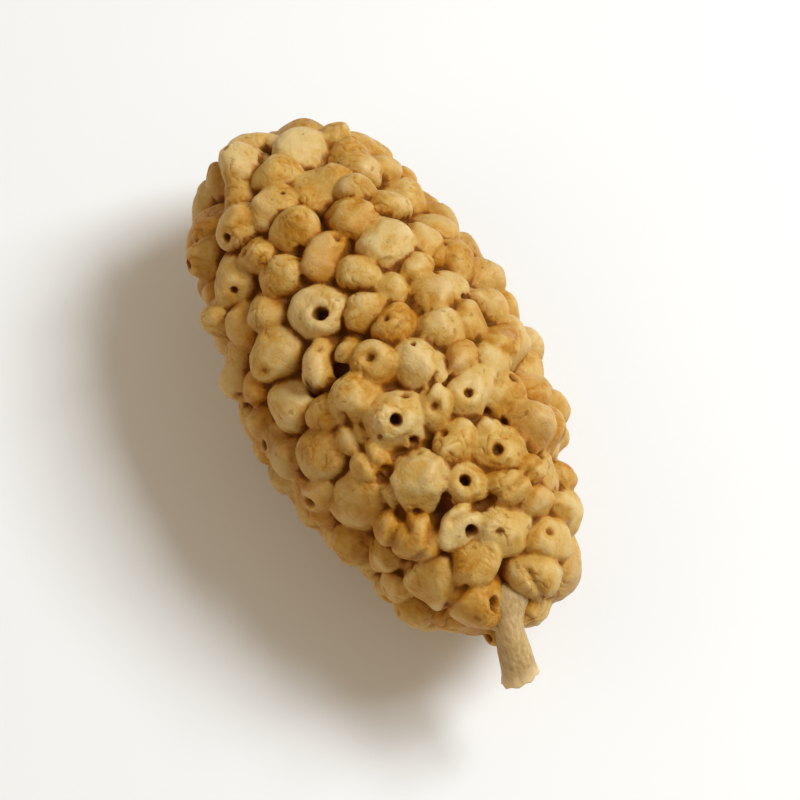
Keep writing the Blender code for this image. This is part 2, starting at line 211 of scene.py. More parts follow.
def layOutDrupelets():
    rng = np.random.default_rng(fruit["seed"])
    facing, facingRadii = facingMiddles(facingDrupelets)
    foot = stalkPoint(stalk["foot"])
    middles, radii = fillIn(rng, np.vstack([facing, foot]), np.append(facingRadii, stalk["clearing"]))
    middles, radii = np.delete(middles, len(facing), axis=0), np.delete(radii, len(facing))
    pits = (rng.random(len(middles)) < fruit["pittedShare"]).astype(int)
    pits[: len(facing)] = np.array(facingDrupelets)[:, 3]
    out = unit(outwardOf(middles) + rng.normal(0, fruit["leanSpread"], middles.shape))
    axes = axesAbout(out)
    middles = middles + out * rng.normal(0, fruit["proudSpread"], len(middles))[:, None]
    swing = fruit["lobeTurns"]
    laid = []
    for i, (middle, radius) in enumerate(zip(middles, radii)):
        choice = fruit["fewLobes"] if radius < fruit["smallDrupelet"] else fruit["manyLobes"]
        lobes = int(rng.integers(*choice))
        start = rng.uniform(0, 2 * math.pi)
        turns = start + 2 * math.pi * (np.arange(lobes) + rng.uniform(-swing, swing, lobes)) / lobes
        sizes = rng.uniform(*fruit["lobeSizes"], lobes)
        laid.append({"middle": middle, "radius": radius, "axes": axes[i], "turns": turns, "sizes": sizes,
                     "pits": pits[i]})
    return laid


# the beads that the skin has drawn together into, on the camera's side: along, across and radius in mm,
# how pale it is from 0 to 9, and how orange (over 0) or grey (under 0)
facingBeads = (
    (-11.5, -0.3, 0.95, 8, 0), (-10.9, 1.7, 0.75, 8, 0), (-9.9, 1.5, 0.80, 9, 0),
    (-10.0, 0.1, 0.60, 7, 0), (-8.95, 0.25, 0.60, 9, 0), (-10.6, -0.9, 0.50, 5, 0),
    (-11.6, 2.3, 0.80, 5, -0.5), (-10.5, 3.0, 0.75, 6, -0.5), (-9.8, 4.2, 0.60, 5, 0),
    (-8.7, 4.2, 0.90, 6, 0.5), (-8.5, 3.0, 0.70, 7, 0.3), (-7.8, 4.0, 0.60, 6, 0),
    (-8.2, 1.5, 0.80, 6, 0.2), (-7.3, 2.4, 0.60, 7, 0.2), (-7.2, 1.3, 0.70, 6, 0.2),
    (-7.4, 0.1, 0.75, 4, 1.0), (-6.7, 3.3, 0.45, 8, 0), (-6.0, 4.2, 0.85, 6, 0.2),
    (-6.9, 4.7, 0.50, 4, 0), (-6.1, 5.1, 0.50, 6, 0), (-5.7, 2.7, 0.50, 7, 0), (-5.5, 0.3, 0.75, 4, 1.0),
    (-5.1, 2.2, 0.55, 8, 0), (-9.5, -1.5, 0.75, 6, 0.5), (-10.45, -3.0, 0.70, 8, 0),
    (-9.4, -3.0, 0.70, 7, 0), (-8.3, -1.4, 0.70, 3, 0.8), (-8.0, -3.0, 0.80, 7, 0),
    (-9.2, -4.5, 0.50, 7, 0), (-8.2, -4.4, 0.55, 6, 0), (-7.0, -5.0, 0.70, 4, -0.8),
    (-6.4, -1.6, 0.80, 7, 0), (-6.5, -3.2, 0.85, 6, 0), (-5.3, -3.1, 0.70, 6, 0),
    (-5.4, -4.3, 0.55, 7, 0), (-5.0, -5.2, 0.60, 5, -0.3), (-4.6, 2.7, 0.65, 8, 0),
    (-4.8, 1.7, 0.55, 6, 0), (-4.4, 0.9, 0.50, 7, 0), (-4.8, 4.2, 0.65, 6, 0),
    (-4.4, 5.2, 0.55, 4, -0.7), (-3.9, 4.3, 0.45, 6, 0), (-2.95, 4.7, 0.45, 6, 0),
    (-2.9, 3.7, 0.45, 7, 0), (-2.3, 2.1, 0.50, 8, 0), (-3.1, 1.9, 0.55, 6, 0), (-3.6, 1.4, 0.50, 6, 0),
    (-3.0, 0.5, 0.55, 5, 0.3), (-1.2, 1.5, 0.40, 7, 0), (-1.7, 0.7, 0.50, 6, -0.6),
    (-1.8, 4.1, 0.90, 7, 0.1), (-0.6, 3.9, 0.75, 8, 0), (-1.3, 5.6, 0.70, 4, -0.2),
    (-0.1, 5.3, 0.60, 4, 0), (-0.1, 2.8, 0.65, 6, 0.3), (0.25, 1.4, 0.85, 8, 0),
    (0.8, 4.6, 0.50, 4, 0.6), (1.4, 3.9, 0.50, 7, 0), (0.7, 5.7, 0.45, 7, 0), (1.6, 5.9, 0.45, 6, 0),
    (1.7, 5.2, 0.45, 5, 0), (-3.7, -1.0, 0.80, 8, 0), (-3.7, -2.1, 0.55, 5, 0),
    (-1.8, -0.8, 0.05, 4, -0.5), (-0.3, -0.7, 0.60, 8, 0), (0.2, -1.4, 0.65, 6, 0),
    (1.6, -0.55, 0.85, 8, 0), (1.9, -1.5, 0.55, 3, -0.3), (-4.7, -2.9, 0.50, 5, -0.5),
    (-3.1, -3.2, 0.85, 7, -0.1), (-3.2, -4.6, 0.65, 6, 0), (-5.0, -4.2, 0.45, 5, 0),
    (-4.0, -5.2, 0.55, 5, -0.6), (-4.5, -6.1, 0.50, 4, -0.4), (-3.0, -6.3, 0.50, 4, -0.3),
    (-3.3, -5.6, 0.50, 5, -0.3), (-0.9, -3.7, 0.75, 8, 0), (-0.2, -2.7, 0.50, 6, 0),
    (0.05, -3.7, 0.55, 6, 0), (-1.6, -2.9, 0.50, 4, 0), (-1.3, -5.4, 0.75, 5, -0.3),
    (-0.2, -5.2, 0.55, 5, -0.3), (-0.1, -6.2, 0.50, 4, -0.3), (0.6, -5.9, 0.45, 5, -0.3),
    (1.4, -3.4, 0.80, 5, -0.7), (1.4, -5.1, 0.75, 5, -0.7), (2.4, 5.3, 0.55, 5, 0),
    (2.5, 4.5, 0.55, 3, -0.2), (3.5, 5.4, 0.55, 7, 0), (4.3, 5.2, 0.55, 4, -0.3), (3.1, 4.7, 0.50, 5, 0),
    (3.8, 4.2, 0.55, 4, -0.2), (2.2, 3.8, 0.50, 6, 0), (2.1, 2.6, 0.70, 7, 0), (3.5, 2.6, 0.60, 9, 0),
    (3.1, 2.0, 0.50, 9, 0), (3.2, 3.4, 0.50, 6, 0), (4.3, 3.3, 0.50, 5, -0.6), (4.65, 2.4, 0.75, 6, 0),
    (5.0, 3.6, 0.60, 6, -0.3), (5.4, 4.6, 0.65, 5, 0.5), (5.8, 5.3, 0.50, 7, 0),
    (6.5, 3.5, 0.85, 7, -0.5), (5.6, 2.6, 0.50, 6, 0), (4.0, 1.7, 0.60, 5, -0.3),
    (5.4, 1.8, 0.55, 6, -0.2), (4.55, 0.9, 0.45, 8, 0), (5.3, 0.6, 0.70, 6, -0.2),
    (2.3, 0.6, 0.60, 7, 0), (2.75, -0.25, 0.50, 6, 0), (3.6, 0.5, 0.50, 9, 0), (7.2, 2.4, 0.70, 8, 0),
    (7.6, 1.0, 0.95, 7, 0), (6.7, -0.5, 0.50, 8, 0), (7.6, -0.4, 0.50, 7, 0), (6.5, 4.7, 0.60, 5, 0),
    (4.1, -0.9, 1.20, 8, 0), (5.2, -1.8, 0.55, 4, -0.5), (3.6, -3.1, 0.90, 6, -0.3),
    (4.0, -4.4, 0.65, 6, 0), (2.5, -3.4, 0.60, 5, -0.5), (5.2, -3.0, 0.50, 8, 0),
    (6.3, -2.5, 0.50, 3, -0.9), (6.1, -3.6, 0.60, 5, -0.1), (5.3, -4.3, 0.50, 5, -0.2),
    (6.6, -4.4, 0.50, 6, -0.2), (5.6, -5.0, 0.45, 8, 0), (4.5, -5.5, 0.50, 7, 0),
    (3.0, -5.2, 0.65, 5, -0.4), (2.0, -6.1, 0.50, 3, 0), (7.2, 4.4, 0.55, 8, 0), (8.2, 4.2, 0.60, 8, 0),
    (8.4, 3.4, 0.80, 7, -0.1), (9.2, 3.7, 0.65, 7, 0), (9.2, 2.5, 0.60, 8, 0.1), (8.2, 2.2, 0.75, 7, 0),
    (7.4, 3.3, 0.60, 6, 0.1), (10.4, 2.0, 1.00, 7, -0.7), (9.4, 1.5, 0.60, 5, 0.2),
    (8.6, 0.9, 0.65, 6, 0.3), (8.6, -0.2, 0.60, 5, 0.7), (9.2, -0.95, 0.55, 8, 0.1),
    (7.9, -2.2, 1.10, 7, 0), (8.0, -4.1, 0.85, 6, 0.3), (7.2, -3.8, 0.55, 6, 0.2),
    (10.2, -2.2, 0.95, 5, 0), (10.0, -3.4, 0.65, 5, -0.4), (11.1, -2.6, 0.60, 4, -0.5),
    (10.4, 0.5, 0.75, 6, 0), (11.4, 0.5, 0.50, 9, 0),
)

# how the beads lie and run together; sizes are shares of their drupelet's radius where no note says more
bead = {
    "seed": 5,
    "swelling": (0.47, 0.97),  # a read radius becomes this many mm and this share of itself
    "merging": 0.68,  # two read nearer than this share of both radii are one bead
    "sag": 0.8,
    "shoulder": 0.85,
    "moveLimits": (-0.0006, 0.0003),  # metres
    "radius": 0.90,
    "loneRadius": 1.05,
    "offset": 0.60,
    "rise": 0.20,
    "sink": 0.3,  # for each share of offset
    "tooNear": 0.66,  # of both radii
    "sideTones": (4.2, 7.6),  # how pale the beads are that the camera doesn't see, from 0 to 9
    "sideWarmth": 0.4,
    "ownSpread": (0.7, 0.15),  # how far each bead's paleness and warmth are from its drupelet's
    "spareSpots": 6000,
    "spares": (0.00104, 0.00094, 0.00084, 0.00074),  # radii in metres of beads that fill what is left
    "spareFit": 0.78,
    "spareTones": (3.5, 6.5),
    "spareWarmth": (0.1, 0.4),
    "proudSpread": 0.00006,
    "leanSpread": 0.12,
    "sizeSpread": (0.90, 1.12),
    "stretch": (1.14, 0.93, 1.0),  # round the fruit, along it and outwards
    "turnSpread": 0.5,
    "fullness": 2.12,
    "limb": 0.90,  # share of a bead's radius from which its side falls straight
    "search": 2.2,
    "within": 0.00018,  # how softly the beads of one drupelet run together, in metres
    "between": 0.00006,
    "toning": 0.00010,
    "trace": 1e-12,  # share of the middle tone where no bead is near
    "middleTone": 5.6,
    "toneRange": 0.50,
    "palest": 9,
    "paintedLitSide": 0.14,  # painted light: for each mm across the fruit, this much paler towards its lit side and darker towards its shaded side
    "coreDepth": 0.00150,
    "lumps": 0.00008,  # how far groups of beads stand proud or sunk, and how wide such groups are
    "lumpSize": 0.0027,
    "lumpSeed": 50,
    "lumpsLow": 2.0,  # all are sunk by this many times that, so hardly one stands out of the solid
}
grid = {"rows": 540, "columns": 700, "faces": 195000}


def ontoDrupelets(middles, radii, drupelets):  # moves each bead's tip to the tip of its drupelet
    moved, owners = [], []
    for middle, radius in zip(middles, radii):
        off = [np.linalg.norm(d["middle"] - middle) - d["radius"] for d in drupelets]
        owners.append(int(np.argmin(off)))
        owner = drupelets[owners[-1]]
        out, gap = owner["axes"][2], middle - owner["middle"]
        aside = min(np.linalg.norm(gap - (gap @ out) * out), bead["shoulder"] * owner["radius"])
        rise = math.sqrt(owner["radius"] ** 2 - aside**2) - gap @ out - radius
        moved.append(middle + out * bead["sag"] * np.clip(rise, *bead["moveLimits"]))
    return np.array(moved), owners


def layOutBeads(drupelets):
    rng = np.random.default_rng(bead["seed"])
    least, more = bead["swelling"]
    kept = []
    for row in sorted(facingBeads, key=lambda row: -row[2]):
        grownRow = (*row[:2], least + more * row[2], *row[3:])
        apart = [math.dist(row[:2], other[:2]) / (grownRow[2] + other[2]) for other in kept]
        if min(apart, default=math.inf) > bead["merging"]:
            kept.append(grownRow)
    middles, radii = facingMiddles(kept)
    middles, groups = ontoDrupelets(middles, radii, drupelets)
    tones = [row[3:] for row in kept]
    for group, drupelet in enumerate(drupelets[len(facingDrupelets):], len(facingDrupelets)):
        lone = len(drupelet["turns"]) == 1
        offset = 0 if lone else bead["offset"]
        rise = bead["rise"] - bead["sink"] * offset
        tone, warmth = rng.uniform(*bead["sideTones"]), rng.normal(0, bead["sideWarmth"])
        for turn, size in zip(drupelet["turns"], drupelet["sizes"]):
            own = np.array([offset * math.cos(turn), offset * math.sin(turn), rise])
            middle = drupelet["middle"] + drupelet["radius"] * own @ drupelet["axes"]
            radius = drupelet["radius"] * size * (bead["loneRadius"] if lone else bead["radius"])
            distance = np.linalg.norm(middles[: len(kept)] - middle, axis=1)
            if np.all(distance > bead["tooNear"] * (radius + radii[: len(kept)])):
                middles, radii = np.vstack([middles, middle]), np.append(radii, radius)
                toneSpread, warmthSpread = bead["ownSpread"]
                tones.append((tone + rng.normal(0, toneSpread), warmth + rng.normal(0, warmthSpread)))
                groups.append(group)
    spots = goldenSpiral(bead["spareSpots"])
    for size in bead["spares"]:
        for spot in ontoEnvelope(spots, np.full(len(spots), size)):
            distance = np.linalg.norm(middles - spot, axis=1)
            if np.all(distance > bead["spareFit"] * (size + radii)):
                middles, radii = np.vstack([middles, spot]), np.append(radii, size)
                tones.append((rng.uniform(*bead["spareTones"]), rng.normal(*bead["spareWarmth"])))
                groups.append(len(drupelets) + len(groups))
    out = unit(outwardOf(middles) + rng.normal(0, bead["leanSpread"], middles.shape))
    middles = middles + out * rng.normal(0, bead["proudSpread"], len(middles))[:, None]
    axes = axesAbout(out)
    turns = rng.normal(0, bead["turnSpread"], len(middles))
    first = axes[:, 0] * np.cos(turns)[:, None] + axes[:, 1] * np.sin(turns)[:, None]
    axes = np.stack([first, np.cross(out, first), out], axis=1)
    sizes = radii[:, None] * rng.uniform(*bead["sizeSpread"], (len(radii), 3)) * bead["stretch"]
    tones = np.array(tones)
    # painted light: beads paler towards the fruit's lit side, darker towards its shaded side
    tones[:, 0] += bead["paintedLitSide"] * middles @ facingAxes()[1] * 1000
    return {"middles": middles, "sizes": sizes, "axes": axes, "tones": tones, "groups": np.array(groups)}


waveMix = {"count": 26, "frequencies": (0.65, 1.5)}


def waves(points, wavelength, seed):  # smooth noise of about unit size, from sine waves
    rng = np.random.default_rng(seed)
    count = waveMix["count"]
    ways = unit(rng.normal(size=(count, 3))) * rng.uniform(*waveMix["frequencies"], (count, 1))
    ways = ways * 2 * math.pi / wavelength
    phases = rng.uniform(0, 2 * math.pi, count)
    total = np.zeros(len(points))
    for way, phase in zip(ways, phases):
        total += np.sin(points @ way + phase)
    return total * math.sqrt(2 / count)


# bends every drupelet and wall a little, out of their plain shapes: wavelength and size in metres
warp = {"bends": ((0.0034, 0.00008), (0.0012, 0.000020)), "seed": 40}


def warped(points):
    for n, (wavelength, size) in enumerate(warp["bends"]):
        shift = [waves(points, wavelength, warp["seed"] + 3 * n + k) for k in range(3)]
        points = points + size * np.stack(shift, axis=1)
    return points


def newObject(name, points, faces):
    mesh = bpy.data.meshes.new(name)
    mesh.from_pydata([tuple(p) for p in points], [], faces)
    made = bpy.data.objects.new(name, mesh)
    bpy.context.scene.collection.objects.link(made)
    return made


def applyModifiers(obj):
    graph = bpy.context.evaluated_depsgraph_get()
    applied = bpy.data.meshes.new_from_object(obj.evaluated_get(graph))
    obj.modifiers.clear()
    old = obj.data
    obj.data = applied
    bpy.data.meshes.remove(old)


def placesOf(mesh):
    places = np.zeros(len(mesh.vertices) * 3)
    mesh.vertices.foreach_get("co", places)
    return places.reshape(-1, 3)


def setPlaces(mesh, places):
    mesh.vertices.foreach_set("co", places.ravel())
    mesh.update()


def meridian(rows, samples=4000):  # even places on the envelope's profile: along the fruit and out
    along = -np.cos(np.linspace(0, math.pi, samples))
    out = (1 - np.abs(along) ** fruit["endPower"]) ** (1 / fruit["sidePower"])
    along, out = along * fruit["length"] / 2, out * fruit["width"] / 2
    arc = np.concatenate([[0], np.cumsum(np.hypot(np.diff(along), np.diff(out)))])
    even = np.linspace(0, arc[-1], rows + 2)
    return np.interp(even, arc, along), np.interp(even, arc, out)


def gridFaces(rows, columns):  # rings between two end points
    faces = [(0, 1 + (k + 1) % columns, 1 + k) for k in range(columns)]
    for n in range(rows - 1):
        start = 1 + n * columns
        for k in range(columns):
            ahead = (k + 1) % columns
            faces.append((start + k, start + ahead, start + columns + ahead, start + columns + k))
    start, end = 1 + (rows - 1) * columns, 1 + rows * columns
    faces += [(start + k, start + (k + 1) % columns, end) for k in range(columns)]
    return faces


def heightsOver(starts, rays, middle, size, axes):  # how far along each ray one bead's skin lies
    start = (starts - middle) @ axes.T / size
    way = rays @ axes.T / size
    speed = (way**2).sum(axis=1)
    closest = -(start * way).sum(axis=1) / speed
    aside = np.sqrt(np.maximum((start**2).sum(axis=1) - closest**2 * speed, 0))
    power, limb = bead["fullness"], bead["limb"]
    inside = np.minimum(aside, limb)
    height = (1 - inside**power) ** (1 / power)
    fall = limb ** (power - 1) * (1 - limb**power) ** (1 / power - 1)
    return closest + (height - fall * (aside - inside)) / np.sqrt(speed)


def growTogether(beads):  # one skin drawn over all beads, with how pale and how warm it is at each point
    rows, columns = grid["rows"], grid["columns"]
    along, out = meridian(rows)
    turns = 2 * math.pi * np.arange(columns) / columns
    ring = np.stack([np.zeros(columns), np.cos(turns), np.sin(turns)], axis=1)
    rings = [np.array([along[n], 0, 0]) + out[n] * ring for n in range(1, rows + 1)]
    points = np.vstack([[[along[0], 0, 0]], *rings, [[along[-1], 0, 0]]])
    lineEnd = fruit["middleLine"] * fruit["length"]
    starts = np.zeros_like(points)
    starts[:, 0] = np.clip(points[:, 0], -lineEnd, lineEnd)
    rays = unit(points - starts)
    level = np.linalg.norm(ontoEnvelope(points, np.zeros(len(points))) - starts, axis=1)
    total = np.exp(-bead["coreDepth"] / bead["between"]) * np.ones(len(points))
    shares, tone = np.full(len(points), bead["trace"]), np.full(len(points), 5 * bead["trace"])
    warmth = np.zeros(len(points))
    for group in np.unique(beads["groups"]):
        inGroup = np.nonzero(beads["groups"] == group)[0]
        middle = beads["middles"][inGroup].mean(axis=0)
        farthest = np.linalg.norm(beads["middles"][inGroup] - middle, axis=1).max()
        farthest += bead["search"] * beads["sizes"][inGroup].max()
        near = np.nonzero(np.linalg.norm(starts + level[:, None] * rays - middle, axis=1) < farthest)[0]
        own = np.zeros(len(near))
        for n in inGroup:
            form = [beads[part][n] for part in ("middles", "sizes", "axes")]
            over = heightsOver(starts[near], rays[near], *form) - level[near]
            own += np.exp(over / bead["within"])
            share = np.exp(over / bead["toning"])
            shares[near] += share
            tone[near] += share * beads["tones"][n, 0]
            warmth[near] += share * beads["tones"][n, 1]
        total[near] += own ** (bead["within"] / bead["between"])
    reach = level + bead["between"] * np.log(total)
    reach += bead["lumps"] * (waves(points, bead["lumpSize"], bead["lumpSeed"]) - bead["lumpsLow"])
    places = warped(starts + reach[:, None] * rays) + fruit["middle"]
    places[:, 2] = np.maximum(places[:, 2], 0)
    grown = newObject("fruitDrupelets", places, gridFaces(rows, columns))
    # the tone holds each bead's own paleness and the painted light across the fruit
    paleness = bead["middleTone"] + bead["toneRange"] * (tone / shares - bead["middleTone"])
    setAttribute(grown.data, "tone", paleness / bead["palest"])
    setAttribute(grown.data, "warmth", warmth / shares)
    return grown


def setAttribute(mesh, name, values):
    made = mesh.attributes.get(name) or mesh.attributes.new(name, "FLOAT", "POINT")
    made.data.foreach_set("value", np.ascontiguousarray(values, dtype=np.float32))


def neighbours(mesh):
    pairs = np.zeros(len(mesh.edges) * 2, dtype=np.int64)
    mesh.edges.foreach_get("vertices", pairs)
    pairs = pairs.reshape(-1, 2)
    return pairs, np.maximum(np.bincount(pairs.ravel(), minlength=len(mesh.vertices)), 1)


def normalsOf(mesh):
    normals = np.zeros(len(mesh.vertices) * 3, dtype=np.float32)
    mesh.vertex_normals.foreach_get("vector", normals)
    return normals.reshape(-1, 3).astype(float)


def treeOf(mesh):
    bm = bmesh.new()
    bm.from_mesh(mesh)
    tree = BVHTree.FromBMesh(bm)
    bm.free()
    return tree


def smoothstep(low, high, values):
    t = np.clip((values - low) / (high - low), 0, 1)
    return t * t * (3 - 2 * t)


# marks set on the camera's side, in mm along and across the fruit
marks = {
    # along, across, hole's radius and depth, rim's radius and height, and how much painted shade darkens the
    # hole
    "pits": (
        (-3.7, -1.0, 0.27, 0.60, 0.58, 0.10, 1.0), (1.6, -0.5, 0.25, 0.55, 0.55, 0.10, 1.0),
        (2.7, -0.28, 0.18, 0.32, 0.38, 0.05, 0.8), (5.1, 0.7, 0.22, 0.50, 0.50, 0.10, 1.0),
        (7.0, -0.05, 0.26, 0.50, 0.50, 0.03, 1.0), (-8.35, -2.8, 0.17, 0.28, 0.45, 0.05, 0.7),
        (-6.3, -3.6, 0.17, 0.26, 0.48, 0.05, 0.6), (-1.4, 4.4, 0.16, 0.16, 0.42, 0.05, 0.35),
        (2.1, 2.6, 0.18, 0.28, 0.45, 0.06, 0.65), (3.15, 2.85, 0.17, 0.26, 0.42, 0.03, 0.5),
        (3.85, 3.25, 0.15, 0.24, 0.36, 0.03, 0.6), (4.68, 2.5, 0.20, 0.34, 0.48, 0.05, 0.8),
        (7.6, 0.85, 0.19, 0.15, 0.48, 0.04, 0.40), (8.6, 2.65, 0.19, 0.13, 0.46, 0.03, 0.30),
        (-0.87, -2.75, 0.22, 0.45, 0.48, 0.03, 0.85), (-2.2, 1.2, 0.13, 0.20, 0.34, 0.03, 0.5),
        (-2.8, -4.15, 0.15, 0.12, 0.42, 0.03, 0.3), (-8.8, 0.1, 0.12, 0.14, 0.34, 0.02, 0.4),
        (-7.35, 1.4, 0.15, 0.10, 0.40, 0.03, 0.25), (-6.25, 3.1, 0.13, 0.15, 0.36, 0.03, 0.35),
        (2.5, 4.55, 0.22, 0.18, 0.50, 0.05, 0.4), (5.2, -1.6, 0.15, 0.14, 0.40, 0.03, 0.3),
        (10.1, -0.7, 0.32, 0.50, 0.60, 0.00, 0.6), (1.9, -1.42, 0.17, 0.14, 0.40, 0.02, 0.35),
        (-0.75, 1.65, 0.11, 0.18, 0.30, 0.02, 0.6), (11.2, -1.7, 0.20, 0.24, 0.50, 0.00, 0.3),
    ),
    # from, to, half width and depth
    "slits": (
        (-1.72, 1.95, -1.48, 1.05, 0.10, 0.14), (0.80, 1.95, 1.20, 1.10, 0.12, 0.18),
        (-11.3, 0.7, -10.4, 0.0, 0.15, 0.15), (9.6, 1.10, 10.9, 1.10, 0.16, 0.18),
        (-3.7, 5.0, -3.3, 4.1, 0.14, 0.14), (5.8, 3.9, 6.3, 2.4, 0.16, 0.15),
        (0.4, -2.30, 2.8, -2.30, 0.24, 0.24), (2.8, -2.1, 5.6, -2.3, 0.24, 0.24),
        (6.3, 2.0, 6.25, -0.5, 0.20, 0.18), (5.35, -0.3, 5.9, -1.1, 0.24, 0.22),
        (5.9, -1.1, 6.6, -1.8, 0.24, 0.22), (6.7, -1.8, 7.1, -3.4, 0.18, 0.14),
        (8.85, -1.4, 9.3, -2.8, 0.16, 0.12),
    ),
    # place, radius and depth
    "gaps": (
        (-6.05, 1.2, 0.24, 0.25), (-6.3, -0.45, 0.22, 0.22), (-1.22, -1.30, 0.36, 0.45),
        (-1.15, -0.15, 0.34, 0.34), (0.85, 0.35, 0.24, 0.28), (1.9, 1.12, 0.26, 0.30),
        (3.0, 0.9, 0.22, 0.22), (3.15, -1.85, 0.32, 0.35), (-7.5, -2.5, 0.24, 0.20),
        (-2.5, -1.7, 0.26, 0.25), (5.6, -0.4, 0.24, 0.22), (2.8, -5.9, 0.26, 0.22),
        (-2.4, -5.6, 0.26, 0.22),
    ),
    # from, to, half width and height
    "ridges": (
        (4.2, -0.5, 3.6, 0.65, 0.24, 0.20), (0.8, 2.8, 1.4, 1.3, 0.16, 0.12),
        (11.6, 0.35, 11.0, 0.45, 0.22, 0.16),
    ),
    # places with hardly a wrinkle: place and radius
    "smooth": (
        (4.1, -0.9, 1.5), (7.9, -2.2, 1.2), (8.3, 2.6, 1.8), (-1.0, 4.1, 1.6), (0.3, 1.4, 1.0),
        (-0.9, -3.7, 0.9),
    ),
    # smoother, more fused places: place and radius
    "fused": (
        (-1.0, 4.1, 1.7), (8.2, 2.6, 2.0), (-8.6, 3.8, 1.2), (2.6, 4.7, 1.4), (5.2, 4.3, 1.4),
        (10.4, 1.6, 1.2),
    ),
}


class Surface:  # the grown mesh as arrays, with what is needed to find and move its points
    def __init__(self, mesh):
        self.mesh = mesh
        self.places = placesOf(mesh)
        self.pairs, self.counts = neighbours(mesh)
        self.findAgain()

    def findAgain(self):
        setPlaces(self.mesh, self.places)
        self.normals = normalsOf(self.mesh)

    def spread(self, values, times=1):  # each value replaced by the mean of its neighbours'
        for _ in range(times):
            total = np.empty_like(values)
            for k in range(values.shape[1]):
                column = values[:, k]
                total[:, k] = np.bincount(self.pairs[:, 0], column[self.pairs[:, 1]], len(column))
                total[:, k] += np.bincount(self.pairs[:, 1], column[self.pairs[:, 0]], len(column))
            values = total / self.counts[:, None]
        return values

    def blurred(self, values, times):
        return self.spread(values[:, None], times)[:, 0]

    def smoothNormals(self, times):
        return unit(self.spread(self.normals, times))

    def hollowness(self, times):  # over 0 in creases and under it on crests, in metres
        return ((self.spread(self.places, times) - self.places) * self.normals).sum(axis=1)

    def distances(self, spot):  # in mm
        return np.linalg.norm(self.places - np.array(spot), axis=1) * 1000

    def searchTree(self):
        tree = KDTree(len(self.places))
        for n, place in enumerate(self.places):
            tree.insert(place, n)
        tree.balance()
        return tree


def castOn(tree, along, across, above=0.03):  # the point of the skin that the camera sees at a place in mm
    axes = facingAxes()
    start = fruit["middle"] + (along * axes[0] + across * axes[1]) / 1000 + above * axes[2]
    return tree.ray_cast(Vector(start), Vector(-axes[2]))[0]


def linePoints(tree, a0, b0, a1, b1, step=0.07):
    count = max(2, int(math.hypot(a1 - a0, b1 - b0) / step) + 1)
    hits = [castOn(tree, a0 + (a1 - a0) * t, b0 + (b1 - b0) * t) for t in np.linspace(0, 1, count)]
    return [hit for hit in hits if hit is not None]


# pits in beads that the camera doesn't see
sidePits = {
    "lean": 0.2,
    "above": 0.004,
    "lowest": 0.0004,  # none is nearer the table than this
    "holes": (0.13, 0.24),  # radius in mm
    "least": (0.9, 0.02, 0.3),  # depth as a share of the hole, its rim's height in mm, and how much painted shade darkens the hole
    "most": (2.2, 0.10, 1.0),
    "rim": 2.1,
}


def tipPits(drupelets, beads, tree, rng):
    found = []
    for group, drupelet in enumerate(drupelets[len(facingDrupelets):], len(facingDrupelets)):
        own = np.nonzero(beads["groups"] == group)[0]
        if drupelet["pits"] and len(own):
            chosen = rng.choice(own)
            out = beads["axes"][chosen, 2] + rng.normal(0, sidePits["lean"], 3)
            start = fruit["middle"] + beads["middles"][chosen] + out * sidePits["above"]
            hit = tree.ray_cast(Vector(start), Vector(-out))[0]
            if hit is not None and hit.z > sidePits["lowest"]:
                hole = rng.uniform(*sidePits["holes"])
                depth, height, shadeAmount = rng.uniform(sidePits["least"], sidePits["most"])
                found.append((hit, hole, depth * hole, sidePits["rim"] * hole, height, shadeAmount))
    return found


drupelets = layOutDrupelets()
beads = layOutBeads(drupelets)
grown = growTogether(beads)
print("beads grown together:", len(beads["middles"]), "faces:", len(grown.data.polygons))

# how the marks are pressed in, and how much painted shade darkens pits, slits and gaps; where no note says
# more, values are shares of a mark's own radius or width
dressing = {
    "seed": 11,
    "easingSteps": 12,
    "easingRound": 4,  # steps; the first round eases the whole skin and the rest its fused places
    "easingRate": 0.6,
    "crease": 0.000012,  # a point this hollow is eased in full, in metres
    "fusedCore": 0.55,
    "flowRounds": 6,  # how often the directions that marks are pressed along are smoothed
    "pitSearch": 2.2,
    "pitWobble": 0.09,
    "wobbleLength": 0.0008,  # metres
    "wobbleSeeds": 9973,
    "pitWall": (0.45, 1.20),
    "rimWidth": 0.36,
    "pitDark": (0.6, 1.5),
    "lineSearch": 3,
    "slitDark": 0.20,  # how much painted shade darkens a slit or a gap, from 0 to 1
    "gapSearch": 2,
    "gapWall": 1.5,
    "gapShade": (0.3, 1.2),
    "gapDark": 0.40,
}

# wrinkles of the dried skin: depth and wavelength in metres, how narrow they are, and where they lie
wrinkles = {
    "bend": (0.00022, 0.0013, 60),  # size, wavelength and seed of how their lines wander
    "broad": {"depth": 0.000055, "length": 0.00120, "narrow": 0.20, "seed": 70},
    "fine": {"depth": 0.000022, "length": 0.00055, "narrow": 0.24, "seed": 71},
    "broadPatches": (-0.7, 0.0026, 72),  # least noise that shows any, its wavelength and its seed
    "finePatches": (-0.4, 0.0021, 74),
    "swell": (0.000012, 0.0008, 73),
    "fineShade": 0.5,
    "smoothCore": 0.6,
    "smoothLeft": 0.25,  # share of the wrinkles that is left in the smooth places
    "resting": 0.0003,  # they fade below this height in metres
}


def marksOn(tree, kind):  # one kind's marks, each with its spot on the skin in front
    return [(castOn(tree, *row[:2]), *row[2:]) for row in marks[kind]]


def findMarks(tree):  # where all marks are on the skin
    found = {}
    for kind in ("pits", "gaps"):
        found[kind] = [mark for mark in marksOn(tree, kind) if mark[0] is not None]
    found["pits"] += tipPits(drupelets, beads, tree, np.random.default_rng(dressing["seed"]))
    for kind in ("slits", "ridges"):
        found[kind] = [(linePoints(tree, *row[:4]), row[4], row[5]) for row in marks[kind]]
    for kind in ("fused", "smooth"):
        found[kind] = marksOn(tree, kind)
    return found


